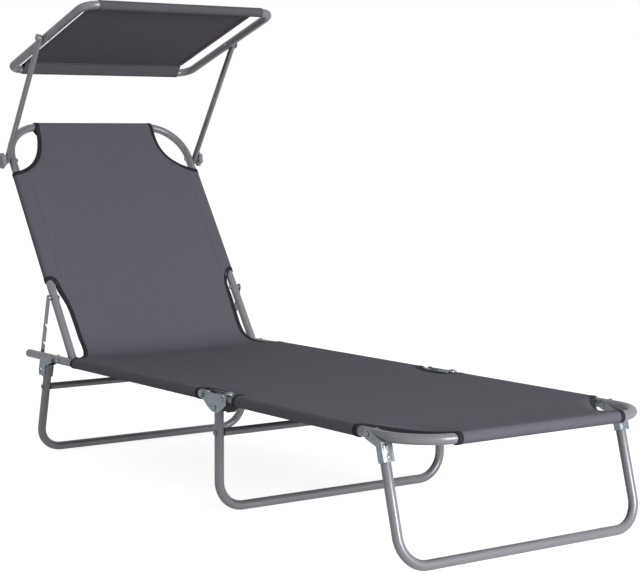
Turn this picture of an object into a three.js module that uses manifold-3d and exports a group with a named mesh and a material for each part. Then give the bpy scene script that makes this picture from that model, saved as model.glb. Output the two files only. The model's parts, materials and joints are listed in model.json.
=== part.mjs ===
// Folding sun lounger with a tilting canopy: a steel tube frame on three leg hoops, a stretched sling
// and a backrest held by two notched ratchet strips. Millimetres, +Z up, +Y towards the head end, X across.
// The pieces are laid out from the recline pivot; at the end the whole is moved so that the origin is on
// the floor, below the middle of its box.
import * as THREE from 'three';
import { mergeVertices } from 'three/addons/utils/BufferGeometryUtils.js';
import Module from 'manifold-3d';

const wasm = await Module();
wasm.setup();

// Clearances, facets and cuts
const gap = 0.3;
const pinPlay = 0.4;
const overrun = 4;
const tubeSides = 14;
const smallSides = 12;
const boreSides = 8;
const bendSteps = 6;
const curveSteps = 8;
const domeSteps = 4;

// Main frame tube
const tubeRadius = 9.5;
const seatHalf = 280;
const seatHeight = 232;
const seatLength = 650;
const rearOverhang = 166;
const cornerBend = 95;

// Backrest
const backInset = 31;
const backHalf = seatHalf - backInset;
const backLength = 651;
const backTail = 12;
const backAngle = THREE.MathUtils.degToRad(55.9);

// Foot section
const footLength = 679;
const footStart = 43;
const foldPinRise = 3;

// Leg hoops
const legBend = 55;
const legInset = 26;
const legLean = THREE.MathUtils.degToRad(15);
const midLegLean = THREE.MathUtils.degToRad(0.7);
const rearPivotY = 33.7;
const frontPivotInset = 124;
const frontPivotY = -seatLength - footLength + frontPivotInset;
const midLegBehind = 49.4;
const midLegY = -seatLength - midLegBehind;
const legTopDrop = 22;
const crossbarRadius = 8;
const crossbarDepth = 70;
const legPivotPlay = 0.6;

// Sling
const fabric = 1.4;
const sleeveInner = tubeRadius + gap;
const sleeveOuter = sleeveInner + fabric;
const backSleeveStart = 208;
const backCornerOpen = 137;
const backSleeveEnd = backLength - backCornerOpen;
const cornerOpen = 84;
const topSleeveHalf = backHalf - cornerOpen;
const seatSleeveStart = 60;
const footCornerOpen = 171;
const footSleeveEnd = seatLength + footLength - footCornerOpen;
const footBarSleeveHalf = seatHalf - cornerOpen;
const foldRadius = 98;
const foldInset = 23;
const foldHalf = backHalf - foldInset;
const waistInset = 25.5;
const waistHalf = backHalf - waistInset;
const waistAlong = 75;
const hingeCutShift = 42.5;
const hingeCutCentre = -seatLength - hingeCutShift;
const hingeCutAlong = 71;
const hingeCutDepth = 19;
const sheetEndInset = 60;
const seatSheetEnd = seatLength - sheetEndInset;
const footSheetStart = seatLength + sheetEndInset;

// Outlines as shares: across from the side towards the inmost point, then along
const scallopShares = [[0.62, 0.12], [1.0, 0.45], [0.98, 0.93]];
const waistUpperShares = [[0.65, 0.94], [1, 0.53]];
const waistLowerShares = [[0.5, 0.7], [1, 0.3]];

// Brackets, plates and rivets
const plateThick = 2;
const rivetRadius = 3;
const rivetHead = 5.5;
const rivetHeadHeight = 2.2;
const flatHeadHeight = 1;
const webRivetHead = 4.6;
const webRivetDrops = [28.5, 45.5];
const bracketLength = 54;
const bracketEdge = 21;
const bracketKnee = 25;
const bracketTop = 17;
const bracketWebTop = 23;
const bracketBoss = 9.5;

// Fold hinge cheeks, as places along and above the fold pin's end of the seat tube
const cheekThick = 2.2;
const cheekFront = 93;
const cheekTopRear = 12;
const cheekDrop = 28;
const cheekBoss = 9;
const cheekNose = 27.5;
const cheekNoseDrop = 10;
const cheekLip = 4;
const cheekRivetBehind = 77;
const cheekRivetY = -seatLength - cheekRivetBehind;
const pinHead = 8;
const pinHeadHeight = 3.5;

// Stop block under each foot tube, and the domed rivet that holds it; each is along from the fold pin
const blockRear = 72;
const blockNose = 94.5;
const blockFront = 112.5;
const blockTop = 6;
const blockRearDepth = 16.5;
const blockDepth = 24;
const studAlong = 88.5;
const studHead = 8.4;
const studDepth = 19;
const studHeadHeight = 5.4;

// Ratchet strips
const ratchetAngles = [22, 42, 55.9, 74].map(THREE.MathUtils.degToRad);
const ratchetPivot = 165;
const ratchetStubY = 130.2;
const ratchetThick = 3;
const ratchetWidth = 15;
const ratchetTail = 15;
const ratchetInset = 15.5;
const ratchetOffset = seatHalf - ratchetInset;
const notchSlant = 4;
const notchPlay = 1.2;

// Canopy and its arms
const knobInset = 99;
const knobAlong = backLength - knobInset;
const armLength = 348;
const armAngle = THREE.MathUtils.degToRad(124.3);
const armWidth = 16;
const armThick = 9;
const armEdge = 3.2;
const canopyWiden = 2;
const canopyHalf = backHalf + canopyWiden;
const canopyDepth = 429;
const canopyRadius = 9.5;
const canopyBend = 34;
const canopyTilt = THREE.MathUtils.degToRad(17.6);
const canopyFabric = 1.2;
const canopyFabricInset = 34;
const canopyFabricHalf = canopyHalf - canopyFabricInset;
const hemLength = 30;
const boltRadius = 3;
const boltHead = 8;
const boltHeadHeight = 4;
const nutRadius = 5;
const nutHeight = 3;

// Star knobs
const knobRadius = 19;
const knobLobes = 6;
const lobeSteps = 5;
const knobDip = 3.4;
const knobThick = 12;
const knobRound = 2;
const knobHub = 8;
const knobHubHeight = 4;
const knobBore = 9;

// End plugs of the seat tubes
const plugLip = 3;

const sides = { left: -1, right: 1 };
const black = new THREE.MeshStandardMaterial({ color: 0x1a1a1c, roughness: 0.6 });
const paint = new THREE.MeshStandardMaterial({ color: 0x76777b, roughness: 0.35, metalness: 0.6 });
const zinc = new THREE.MeshStandardMaterial({ color: 0x9aa3a8, roughness: 0.4, metalness: 0.8 });
const sling = new THREE.MeshStandardMaterial({ color: 0x5a5861, roughness: 0.85 });
const shade = new THREE.MeshStandardMaterial({ color: 0x4a474f, roughness: 0.9 });
const knobPlastic = new THREE.MeshStandardMaterial({ color: 0x6f7276, roughness: 0.5 });

// Solids in and out of the boolean library
function solidOf(geometry) {
  const bare = geometry.clone();
  bare.deleteAttribute('normal');
  bare.deleteAttribute('uv');
  const merged = mergeVertices(bare);
  return new wasm.Manifold(new wasm.Mesh({
    numProp: 3,
    vertProperties: new Float32Array(merged.attributes.position.array),
    triVerts: new Uint32Array(merged.index.array),
  }));
}

function geometryOf(solid) {
  const mesh = solid.getMesh();
  const geometry = new THREE.BufferGeometry();
  geometry.setAttribute('position', new THREE.Float32BufferAttribute(mesh.vertProperties, 3));
  geometry.setIndex(new THREE.Uint32BufferAttribute(mesh.triVerts, 1));
  const faceted = geometry.toNonIndexed();
  faceted.computeVertexNormals();
  return faceted;
}

function union(solids) {
  return solids.reduce((sum, solid) => sum.add(solid));
}

// A route through corner points: straight runs, and arcs where a corner has a bend radius
class TubeRoute extends THREE.Curve {
  constructor(corners, bendRadius, closed = false) {
    super();
    this.stations = [];
    const count = corners.length;
    corners.forEach((corner, i) => {
      const inner = closed || (i > 0 && i < count - 1);
      if (inner) {
        this.addBend(corners[(i + count - 1) % count], corner, corners[(i + 1) % count], bendRadius);
      } else {
        const other = corners[i === 0 ? 1 : i - 1];
        const along = i === 0 ? other.clone().sub(corner) : corner.clone().sub(other);
        this.stations.push({ point: corner.clone(), tangent: along.normalize() });
      }
    });
    if (closed) {
      this.stations.push(this.stations[0]);
    }
    this.isCatmullRomCurve3 = closed;
    this.closed = closed;
  }

  addBend(before, corner, after, bendRadius) {
    const into = corner.clone().sub(before).normalize();
    const out = after.clone().sub(corner).normalize();
    const turn = into.angleTo(out);
    const reach = bendRadius * Math.tan(turn / 2);
    const start = corner.clone().addScaledVector(into, -reach);
    const side = out.clone().addScaledVector(into, -out.dot(into)).normalize();
    const centre = start.clone().addScaledVector(side, bendRadius);
    for (let i = 0; i <= bendSteps; i += 1) {
      const angle = (turn * i) / bendSteps;
      const point = centre.clone().addScaledVector(side, -bendRadius * Math.cos(angle))
        .addScaledVector(into, bendRadius * Math.sin(angle));
      const tangent = into.clone().multiplyScalar(Math.cos(angle)).addScaledVector(side, Math.sin(angle));
      this.stations.push({ point, tangent });
    }
  }

  get steps() {
    return this.stations.length - 1;
  }

  getPoint(t, target = new THREE.Vector3()) {
    return target.copy(this.stations[Math.round(t * this.steps)].point);
  }

  getTangent(t, target = new THREE.Vector3()) {
    return target.copy(this.stations[Math.round(t * this.steps)].tangent);
  }

  // The stations are the steps of the extrusion, so no even spacing is wanted.
  getUtoTmapping(u) {
    return u;
  }
}

function disc(radius, pointCount) {
  const shape = new THREE.Shape();
  const points = [];
  for (let i = 0; i < pointCount; i += 1) {
    const angle = ((i + 0.5) / pointCount) * 2 * Math.PI;
    points.push(new THREE.Vector2(radius * Math.cos(angle), radius * Math.sin(angle)));
  }
  return shape.setFromPoints(points);
}

function tube(corners, bendRadius, radius, closed = false, pointCount = tubeSides) {
  const route = new TubeRoute(corners, bendRadius, closed);
  const outline = disc(radius, pointCount);
  const geometry = new THREE.ExtrudeGeometry(outline, { steps: route.steps, extrudePath: route });
  if (!closed) {
    return solidOf(geometry);
  }
  // A closed loop has no lids: only the side walls are kept.
  const walls = geometry.groups[1];
  const end = walls.start + walls.count;
  const positions = geometry.attributes.position.array.slice(3 * walls.start, 3 * end);
  const loop = new THREE.BufferGeometry();
  loop.setAttribute('position', new THREE.Float32BufferAttribute(positions, 3));
  return solidOf(loop);
}

function rod(from, to, radius, pointCount = tubeSides) {
  return tube([from, to], 0, radius, false, pointCount);
}

function rodAcross(half, y, z, radius, pointCount = smallSides) {
  return rod(new THREE.Vector3(-half, y, z), new THREE.Vector3(half, y, z), radius, pointCount);
}

// A plate drawn in the YZ plane and given its thickness along X, from x = start
function sidePlate(points, start, thickness) {
  const shape = new THREE.Shape(points);
  const geometry = new THREE.ExtrudeGeometry(shape, { depth: thickness, bevelEnabled: false });
  geometry.applyMatrix4(new THREE.Matrix4().makeBasis(
    new THREE.Vector3(0, 1, 0),
    new THREE.Vector3(0, 0, 1),
    new THREE.Vector3(1, 0, 0),
  ));
  return solidOf(geometry).translate([start, 0, 0]);
}

function flatSheet(shape, low, thickness) {
  const geometry = new THREE.ExtrudeGeometry(shape, {
    depth: thickness,
    bevelEnabled: false,
    curveSegments: curveSteps,
  });
  return solidOf(geometry).translate([0, 0, low]);
}

function arcPoints(cx, cy, radius, from, to, steps = curveSteps) {
  const points = [];
  for (let i = 0; i <= steps; i += 1) {
    const angle = from + ((to - from) * i) / steps;
    points.push(new THREE.Vector2(cx + radius * Math.cos(angle), cy + radius * Math.sin(angle)));
  }
  return points;
}

// A turned pin along X: a list of [x, radius] steps, pointing away from the middle on the given side
function turnedPin(profile, side, y = 0, z = 0) {
  const points = [new THREE.Vector2(0, profile[0][0])];
  profile.forEach(([x, radius]) => points.push(new THREE.Vector2(radius, x)));
  points.push(new THREE.Vector2(0, profile[profile.length - 1][0]));
  const geometry = new THREE.LatheGeometry(points, smallSides);
  geometry.rotateZ(-Math.PI / 2);
  const pin = solidOf(geometry);
  const placed = side < 0 ? pin.mirror([1, 0, 0]) : pin;
  return placed.translate([0, y, z]);
}

function mesh(name, solid, material) {
  const piece = new THREE.Mesh(geometryOf(solid), material);
  piece.name = name;
  return piece;
}

// Backrest, laid flat along +Y with the sitter's side up
function hairpin(half, start, bar) {
  return [
    new THREE.Vector3(-half, start, 0),
    new THREE.Vector3(-half, bar, 0),
    new THREE.Vector3(half, bar, 0),
    new THREE.Vector3(half, start, 0),
  ];
}

function backrestTube() {
  const frame = tube(hairpin(backHalf, -backTail, backLength), cornerBend, tubeRadius);
  const across = backHalf + tubeRadius + overrun;
  const bore = (y) => rodAcross(across, y, 0, rivetRadius + pinPlay, boreSides);
  const bores = [0, ratchetPivot, knobAlong].map(bore);
  return frame.subtract(union(bores));
}

// One scalloped corner from a side sleeve to an end sleeve; along is the run towards the end bar
function scallop(shape, side, sideHalf, barHalf, sleeveEnd, bar) {
  const across = (share) => side * (sideHalf - share * (sideHalf - barHalf));
  const along = (share) => sleeveEnd + share * (bar - sleeveEnd);
  const [a, b, c] = scallopShares;
  const controls = side > 0 ? [a, b, c] : [c, b, a];
  if (side > 0) {
    shape.bezierCurveTo(across(controls[0][0]), along(controls[0][1]), across(controls[1][0]),
      along(controls[1][1]), across(controls[2][0]), along(controls[2][1]));
    shape.lineTo(side * barHalf, bar);
  } else {
    shape.lineTo(across(controls[0][0]), along(controls[0][1]));
    shape.bezierCurveTo(across(controls[1][0]), along(controls[1][1]), across(controls[2][0]),
      along(controls[2][1]), side * sideHalf, sleeveEnd);
  }
}

// A sheet lying on a bent tube, with a sleeve round the tube wherever a band covers it
function sleevedSheet(shape, route, bands) {
  const sleeves = tube(route, cornerBend, sleeveOuter).intersect(union(bands));
  return flatSheet(shape, sleeveInner, fabric).add(sleeves).subtract(tube(route, cornerBend, sleeveInner));
}

function band(x, start, end) {
  const reach = 2 * (sleeveOuter + overrun);
  const box = new THREE.BoxGeometry(reach, Math.abs(end - start), reach);
  return solidOf(box).translate([x, (start + end) / 2, 0]);
}

function barBand(half, bar) {
  const reach = 2 * (sleeveOuter + overrun);
  return solidOf(new THREE.BoxGeometry(2 * half, reach, reach)).translate([0, bar, 0]);
}

// The control points from one end of the waist's outline to its inmost point
function waistCurve(along, half, shares) {
  return shares.map(([across, share]) => [
    half - across * (half - waistHalf),
    waistAlong + share * (along - waistAlong),
  ]);
}

function slingBack() {
  const low = foldRadius * Math.tan(backAngle / 2) + foldCrease().along + gap;
  const shape = new THREE.Shape();
  const waist = [
    waistCurve(low, foldHalf, waistLowerShares),
    waistCurve(backSleeveStart, backHalf, waistUpperShares),
  ];
  shape.moveTo(-foldHalf, low);
  shape.lineTo(foldHalf, low);
  shape.bezierCurveTo(...waist[0].flat(), waistHalf, waistAlong);
  shape.bezierCurveTo(...[...waist[1]].reverse().flat(), backHalf, backSleeveStart);
  shape.lineTo(backHalf, backSleeveEnd);
  scallop(shape, 1, backHalf, topSleeveHalf, backSleeveEnd, backLength);
  shape.lineTo(-topSleeveHalf, backLength);
  scallop(shape, -1, backHalf, topSleeveHalf, backSleeveEnd, backLength);
  const mirrored = waist.map((controls) => controls.map(([x, y]) => [-x, y]));
  shape.lineTo(-backHalf, backSleeveStart);
  shape.bezierCurveTo(...mirrored[1].flat(), -waistHalf, waistAlong);
  shape.bezierCurveTo(...[...mirrored[0]].reverse().flat(), -foldHalf, low);
  const route = hairpin(backHalf, -backTail, backLength);
  return sleevedSheet(shape, route, [
    band(backHalf, backSleeveStart, backSleeveEnd),
    band(-backHalf, backSleeveStart, backSleeveEnd),
    barBand(topSleeveHalf, backLength),
  ]);
}

// Where the planes of the seat and backrest sheets meet, seen from the recline pivot
function foldCrease() {
  const y = (sleeveOuter * (Math.cos(backAngle) - 1)) / Math.sin(backAngle);
  return { y, along: y * Math.cos(backAngle) + sleeveOuter * Math.sin(backAngle) };
}

// The strip of sling that turns from the seat up into the backrest
function slingReclineFold() {
  const crease = foldCrease();
  const reach = foldRadius * Math.tan(backAngle / 2);
  const centre = new THREE.Vector2(crease.y - reach, sleeveOuter + foldRadius);
  const from = -Math.PI / 2;
  const to = from + backAngle;
  const top = arcPoints(centre.x, centre.y, foldRadius, from, to);
  const under = arcPoints(centre.x, centre.y, foldRadius + fabric, to, from);
  return sidePlate([...top, ...under], -foldHalf, 2 * foldHalf);
}

function hingeCutter() {
  const cutters = Object.values(sides).map((side) => {
    const shape = new THREE.Shape();
    const beyond = side * (seatHalf + sleeveOuter + overrun);
    const clear = tubeRadius + cheekThick + cheekLip + 2 * gap;
    shape.moveTo(beyond, hingeCutCentre + hingeCutAlong);
    shape.lineTo(side * (seatHalf - clear), hingeCutCentre + hingeCutAlong);
    shape.absellipse(side * (seatHalf - clear), hingeCutCentre, hingeCutDepth - clear, hingeCutAlong,
      Math.PI / 2, Math.PI * 1.5, side < 0);
    shape.lineTo(beyond, hingeCutCentre - hingeCutAlong);
    return flatSheet(shape, -sleeveOuter - overrun, 2 * (sleeveOuter + overrun));
  });
  return union(cutters);
}

function sideSleeves(start, end) {
  const parts = { outer: [], bores: [] };
  Object.values(sides).forEach((side) => {
    const away = overrun * Math.sign(start - end);
    const at = (y) => new THREE.Vector3(side * seatHalf, y, 0);
    const along = (from, to, radius) => rod(at(from), at(to), radius);
    parts.outer.push(along(start, end, sleeveOuter));
    parts.bores.push(along(start + away, end - away, sleeveInner));
  });
  return parts;
}

function slingSeat() {
  const rear = foldCrease().y - foldRadius * Math.tan(backAngle / 2) - gap;
  const shape = new THREE.Shape();
  shape.moveTo(-seatHalf, -seatSheetEnd);
  shape.lineTo(seatHalf, -seatSheetEnd);
  shape.lineTo(seatHalf, -seatSleeveStart);
  shape.lineTo(foldHalf, rear);
  shape.lineTo(-foldHalf, rear);
  shape.lineTo(-seatHalf, -seatSleeveStart);
  const sleeves = sideSleeves(-seatSleeveStart, -seatSheetEnd);
  return union([flatSheet(shape, sleeveInner, fabric), ...sleeves.outer])
    .subtract(union(sleeves.bores)).subtract(hingeCutter());
}

function slingMidFold() {
  const shape = new THREE.Shape();
  shape.moveTo(-seatHalf, -footSheetStart + gap);
  shape.lineTo(seatHalf, -footSheetStart + gap);
  shape.lineTo(seatHalf, -seatSheetEnd - gap);
  shape.lineTo(-seatHalf, -seatSheetEnd - gap);
  const sleeves = sideSleeves(-seatSheetEnd - gap, hingeCutCentre);
  return union([flatSheet(shape, sleeveInner, fabric), ...sleeves.outer])
    .subtract(union(sleeves.bores)).subtract(hingeCutter());
}

function slingFoot() {
  const bar = -seatLength - footLength;
  const shape = new THREE.Shape();
  shape.moveTo(seatHalf, -footSheetStart);
  shape.lineTo(seatHalf, -footSleeveEnd);
  scallop(shape, 1, seatHalf, footBarSleeveHalf, -footSleeveEnd, bar);
  shape.lineTo(-footBarSleeveHalf, bar);
  scallop(shape, -1, seatHalf, footBarSleeveHalf, -footSleeveEnd, bar);
  shape.lineTo(-seatHalf, -footSheetStart);
  const route = hairpin(seatHalf, -seatLength - footStart, bar);
  return sleevedSheet(shape, route, [
    band(seatHalf, -footSheetStart, -footSleeveEnd),
    band(-seatHalf, -footSheetStart, -footSleeveEnd),
    barBand(footBarSleeveHalf, bar),
  ]).subtract(hingeCutter());
}

// Seat frame
// The tube's front end is rounded about the fold pin, so that the foot section can turn round it.
function seatTube(side) {
  const x = side * seatHalf;
  const end = -seatLength - foldEndRadius();
  const bar = rod(new THREE.Vector3(x, rearOverhang, 0), new THREE.Vector3(x, end, 0), tubeRadius);
  const across = seatHalf + tubeRadius + overrun;
  const bore = (y, z) => rodAcross(across, y, z, rivetRadius + pinPlay, boreSides);
  const stubBore = turnedPin([
    [seatHalf - tubeRadius - overrun, rivetRadius + pinPlay],
    [seatHalf, rivetRadius + pinPlay],
  ], side, ratchetStubY);
  const pinBores = [bore(0, 0), bore(rearPivotY, 0), bore(-seatLength, foldPinRise)];
  return bar.subtract(union([...pinBores, stubBore, foldEndWaste()]));
}

function foldEndRadius() {
  return tubeRadius + foldPinRise;
}

function foldEndWaste() {
  const reach = 2 * foldEndRadius();
  const box = new THREE.BoxGeometry(2 * (seatHalf + reach), reach, 2 * reach);
  const ahead = solidOf(box).translate([0, -seatLength - reach / 2, 0]);
  const across = seatHalf + 2 * reach;
  return ahead.subtract(rodAcross(across, -seatLength, foldPinRise, foldEndRadius(), tubeSides));
}

function endPlug(side) {
  const profile = [
    new THREE.Vector2(0, 0),
    new THREE.Vector2(tubeRadius, 0),
    new THREE.Vector2(tubeRadius, plugLip / 2),
    new THREE.Vector2(tubeRadius - plugLip / 2, plugLip),
    new THREE.Vector2(0, plugLip),
  ];
  const plug = solidOf(new THREE.LatheGeometry(profile, tubeSides));
  return plug.translate([side * seatHalf, rearOverhang + gap, 0]);
}

function reclineBolt(side) {
  return turnedPin([
    [backHalf - tubeRadius - gap - rivetHeadHeight, rivetHead],
    [backHalf - tubeRadius - gap, rivetHead],
    [backHalf - tubeRadius - gap, rivetRadius],
    [backHalf + tubeRadius + gap, rivetRadius],
    [backHalf + tubeRadius + gap, rivetHead],
    [seatHalf - tubeRadius - gap, rivetHead],
    [seatHalf - tubeRadius - gap, rivetRadius],
    [seatHalf + tubeRadius + gap, rivetRadius],
    [seatHalf + tubeRadius + gap, rivetHead],
    [seatHalf + tubeRadius + gap + flatHeadHeight, rivetHead - flatHeadHeight],
  ], side);
}

// The stub on the inside of the seat tube that the ratchet's notch hangs over, just clear of the strip
function ratchetStub(side) {
  return turnedPin([
    [ratchetOffset + ratchetThick / 2 + pinPlay, rivetRadius],
    [seatHalf - pinPlay, rivetRadius],
  ], side, ratchetStubY);
}

// A rivet through two plates and the tube between them
function plateRivet(side, y, z, thick, outerHead, outerHeight) {
  const wall = tubeRadius + gap;
  return turnedPin([
    [seatHalf - wall - thick - gap - flatHeadHeight, rivetHead - flatHeadHeight],
    [seatHalf - wall - thick - gap, rivetHead],
    [seatHalf - wall - thick - gap, rivetRadius],
    [seatHalf + wall + thick + gap, rivetRadius],
    [seatHalf + wall + thick + gap, outerHead],
    [seatHalf + wall + thick + gap + outerHeight / 2, outerHead],
    [seatHalf + wall + thick + gap + outerHeight, outerHead - outerHeight / 2],
  ], side, y, z);
}

// Ratchet strips, hanging from their pivot along -Z
function ratchetPivotAt(angle) {
  return new THREE.Vector2(ratchetPivot * Math.cos(angle), ratchetPivot * Math.sin(angle));
}

function ratchetReach(angle) {
  return ratchetPivotAt(angle).distanceTo(new THREE.Vector2(ratchetStubY, 0));
}

function ratchetStrip() {
  const half = ratchetWidth / 2;
  const notch = rivetRadius + notchPlay;
  const last = ratchetReach(ratchetAngles[ratchetAngles.length - 1]) + ratchetTail;
  const outline = [
    ...arcPoints(0, 0, half, 0, Math.PI),
    ...arcPoints(0, -last + half, half, Math.PI, 2 * Math.PI),
  ];
  const notches = ratchetAngles.map((angle) => {
    const drop = ratchetReach(angle);
    return sidePlate([
      ...arcPoints(0, -drop, notch, -Math.PI / 2, Math.PI / 2),
      new THREE.Vector2(-half - overrun, -drop + notch - notchSlant),
      new THREE.Vector2(-half - overrun, -drop - notch - notchSlant),
    ], -ratchetThick, 2 * ratchetThick);
  });
  const eye = rodAcross(ratchetThick, 0, 0, rivetRadius + pinPlay, boreSides);
  return sidePlate(outline, -ratchetThick / 2, ratchetThick).subtract(union([...notches, eye]));
}

function ratchetPin(side) {
  const strip = ratchetOffset - ratchetThick / 2;
  return turnedPin([
    [backHalf - tubeRadius - gap - rivetHeadHeight, rivetHead - rivetHeadHeight / 2],
    [backHalf - tubeRadius - gap, rivetHead],
    [backHalf - tubeRadius - gap, rivetRadius],
    [backHalf + tubeRadius + gap, rivetRadius],
    [backHalf + tubeRadius + gap, rivetHead],
    [strip - gap, rivetHead],
    [strip - gap, rivetRadius],
    [strip + ratchetThick + gap, rivetRadius],
    [strip + ratchetThick + gap, rivetHead],
    [strip + ratchetThick + gap + flatHeadHeight, rivetHead],
  ], side, ratchetPivot);
}

// Leg hoops, hanging along -Z below their pivots
function hoop(height, offset, top) {
  const z = -height;
  return tube([
    new THREE.Vector3(-seatHalf, offset, -top),
    new THREE.Vector3(-seatHalf, offset, z),
    new THREE.Vector3(seatHalf, offset, z),
    new THREE.Vector3(seatHalf, offset, -top),
  ], legBend, tubeRadius);
}

// How far below its pivot a leaning hoop's floor bar lies, so that it just rests on the floor
function hoopHeight(pivotHeight, offset, lean) {
  return (pivotHeight - tubeRadius + offset * Math.sin(lean)) / Math.cos(lean);
}

function crossbarDrop(pivotHeight, offset, lean) {
  return (pivotHeight - seatHeight + crossbarDepth + offset * Math.sin(lean)) / Math.cos(lean);
}

function legRivetBores(side) {
  const x = side * seatHalf;
  const beyond = legInset + tubeRadius + overrun;
  return webRivetDrops.map((drop) => rod(
    new THREE.Vector3(x, legInset, -drop),
    new THREE.Vector3(x, beyond, -drop),
    rivetRadius + pinPlay,
    boreSides,
  ));
}

function endLegHoop() {
  const bores = Object.values(sides).flatMap((side) => legRivetBores(side));
  return hoop(hoopHeight(seatHeight, legInset, legLean), legInset, legTopDrop).subtract(union(bores));
}

function crossbarBore(offset, drop) {
  return rodAcross(seatHalf + tubeRadius + overrun, offset, -drop, rivetRadius + pinPlay, boreSides);
}

// A crossbar whose turned-down ends pass through the legs and are headed over outside them
function crossbar(offset, drop) {
  const bar = rodAcross(seatHalf - tubeRadius / 2, offset, -drop, crossbarRadius);
  const legs = Object.values(sides).map((side) => rod(
    new THREE.Vector3(side * seatHalf, offset, -drop - legBend),
    new THREE.Vector3(side * seatHalf, offset, -drop + legBend),
    tubeRadius + gap,
  ));
  const ends = Object.values(sides).map((side) => turnedPin([
    [seatHalf - tubeRadius - 2 * rivetHead, rivetRadius],
    [seatHalf + tubeRadius + gap, rivetRadius],
    [seatHalf + tubeRadius + gap, rivetHead],
    [seatHalf + tubeRadius + gap + rivetHeadHeight / 2, rivetHead],
    [seatHalf + tubeRadius + gap + rivetHeadHeight, rivetHead - rivetHeadHeight],
  ], side, offset, -drop));
  return union([bar.subtract(union(legs)), ...ends]);
}

// The folded-plate channel that hangs an end leg on its tube: a web outboard of the leg and two cheeks
function legBracket() {
  const wall = tubeRadius + gap;
  const outer = legInset + wall + plateThick;
  const cheekPoints = [
    ...arcPoints(0, 0, bracketBoss, Math.PI * 0.4, Math.PI * 1.3),
    new THREE.Vector2(bracketEdge, -bracketKnee),
    new THREE.Vector2(bracketEdge, -bracketLength),
    new THREE.Vector2(outer, -bracketLength),
    new THREE.Vector2(outer, -bracketTop),
  ];
  const webPoints = [
    new THREE.Vector2(outer - plateThick, -bracketLength),
    new THREE.Vector2(outer, -bracketLength),
    new THREE.Vector2(outer, -bracketWebTop),
    new THREE.Vector2(outer - plateThick, -bracketWebTop),
  ];
  const cheeks = [-wall - plateThick, wall].map((x) => sidePlate(cheekPoints, x, plateThick));
  const web = sidePlate(webPoints, -wall - plateThick / 2, 2 * wall + plateThick);
  const pivotBore = rodAcross(wall + 2 * plateThick, 0, 0, rivetRadius + pinPlay, boreSides);
  return union([...cheeks, web, ...webRivetDrops.map(webRivet)]).subtract(pivotBore);
}

// A button rivet through the web of a bracket into the leg, along +Y
function webRivet(drop) {
  const face = legInset + tubeRadius + gap + plateThick;
  const profile = [
    new THREE.Vector2(0, legInset + pinPlay),
    new THREE.Vector2(rivetRadius, legInset + pinPlay),
    new THREE.Vector2(rivetRadius, face),
    new THREE.Vector2(webRivetHead, face),
    new THREE.Vector2(webRivetHead, face + rivetHeadHeight / 2),
    new THREE.Vector2(webRivetHead - rivetHeadHeight / 2, face + rivetHeadHeight),
    new THREE.Vector2(0, face + rivetHeadHeight),
  ];
  return solidOf(new THREE.LatheGeometry(profile, smallSides)).translate([0, 0, -drop]);
}

// Foot section
function footTube() {
  const bar = -seatLength - footLength;
  const start = -seatLength - footStart;
  const frame = tube(hairpin(seatHalf, start, bar), cornerBend, tubeRadius);
  const across = seatHalf + tubeRadius + overrun;
  return frame.subtract(union([
    rodAcross(across, cheekRivetY, 0, rivetRadius + pinPlay, boreSides),
    rodAcross(across, frontPivotY, 0, rivetRadius + pinPlay, boreSides),
    ...Object.values(sides).map((side) => studRod(side, blockDepth, rivetRadius + pinPlay)),
  ]));
}

function legPivotDrop() {
  return 2 * tubeRadius + legPivotPlay;
}

// One cheek of the fold hinge: a plate past the tube ends, with its top edge turned outwards as a lip
function hingeCheek(side, outward) {
  const wall = tubeRadius + gap;
  const front = -seatLength - cheekFront;
  const top = tubeRadius;
  const bottom = -cheekDrop;
  const points = [
    ...arcPoints(-seatLength, foldPinRise, cheekBoss, Math.PI * 0.4, -Math.PI * 0.5, 8),
    new THREE.Vector2(-seatLength - cheekBoss, -cheekBoss),
    new THREE.Vector2(midLegY + 3 * cheekBoss, bottom + cheekBoss),
    new THREE.Vector2(midLegY + cheekBoss, bottom),
    new THREE.Vector2(front + cheekNose, bottom),
    new THREE.Vector2(front, -cheekNoseDrop),
    new THREE.Vector2(front, top - cheekThick),
    new THREE.Vector2(front + cheekLip, top),
    new THREE.Vector2(-seatLength - cheekTopRear, top),
  ];
  const inner = outward > 0 ? wall : -wall - cheekThick;
  const plate = sidePlate(points, inner, cheekThick);
  const lipPoints = [
    new THREE.Vector2(front + cheekLip, top - cheekThick),
    new THREE.Vector2(front + cheekLip, top),
    new THREE.Vector2(-seatLength - cheekTopRear, top),
    new THREE.Vector2(-seatLength - cheekTopRear, top - cheekThick),
  ];
  const lipStart = outward > 0 ? wall : -wall - cheekThick - cheekLip;
  const lip = sidePlate(lipPoints, lipStart, cheekThick + cheekLip);
  const reach = wall + cheekThick + cheekLip;
  const bores = [
    rodAcross(reach, -seatLength, foldPinRise, rivetRadius + pinPlay, boreSides),
    rodAcross(reach, cheekRivetY, 0, rivetRadius + pinPlay, boreSides),
    rodAcross(reach, midLegY, -legPivotDrop(), rivetRadius + pinPlay, boreSides),
  ];
  const cheek = union([plate, lip]).subtract(union(bores));
  const handed = side < 0 ? cheek.mirror([1, 0, 0]) : cheek;
  return handed.translate([side * seatHalf, 0, 0]);
}

// An upright rod on the axis of the stop's rivet, reaching as far above the tube's middle as below it
function studRod(side, reach, radius) {
  const y = -seatLength - studAlong;
  const low = new THREE.Vector3(side * seatHalf, y, -reach);
  return rod(low, new THREE.Vector3(side * seatHalf, y, reach), radius, boreSides);
}

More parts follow.
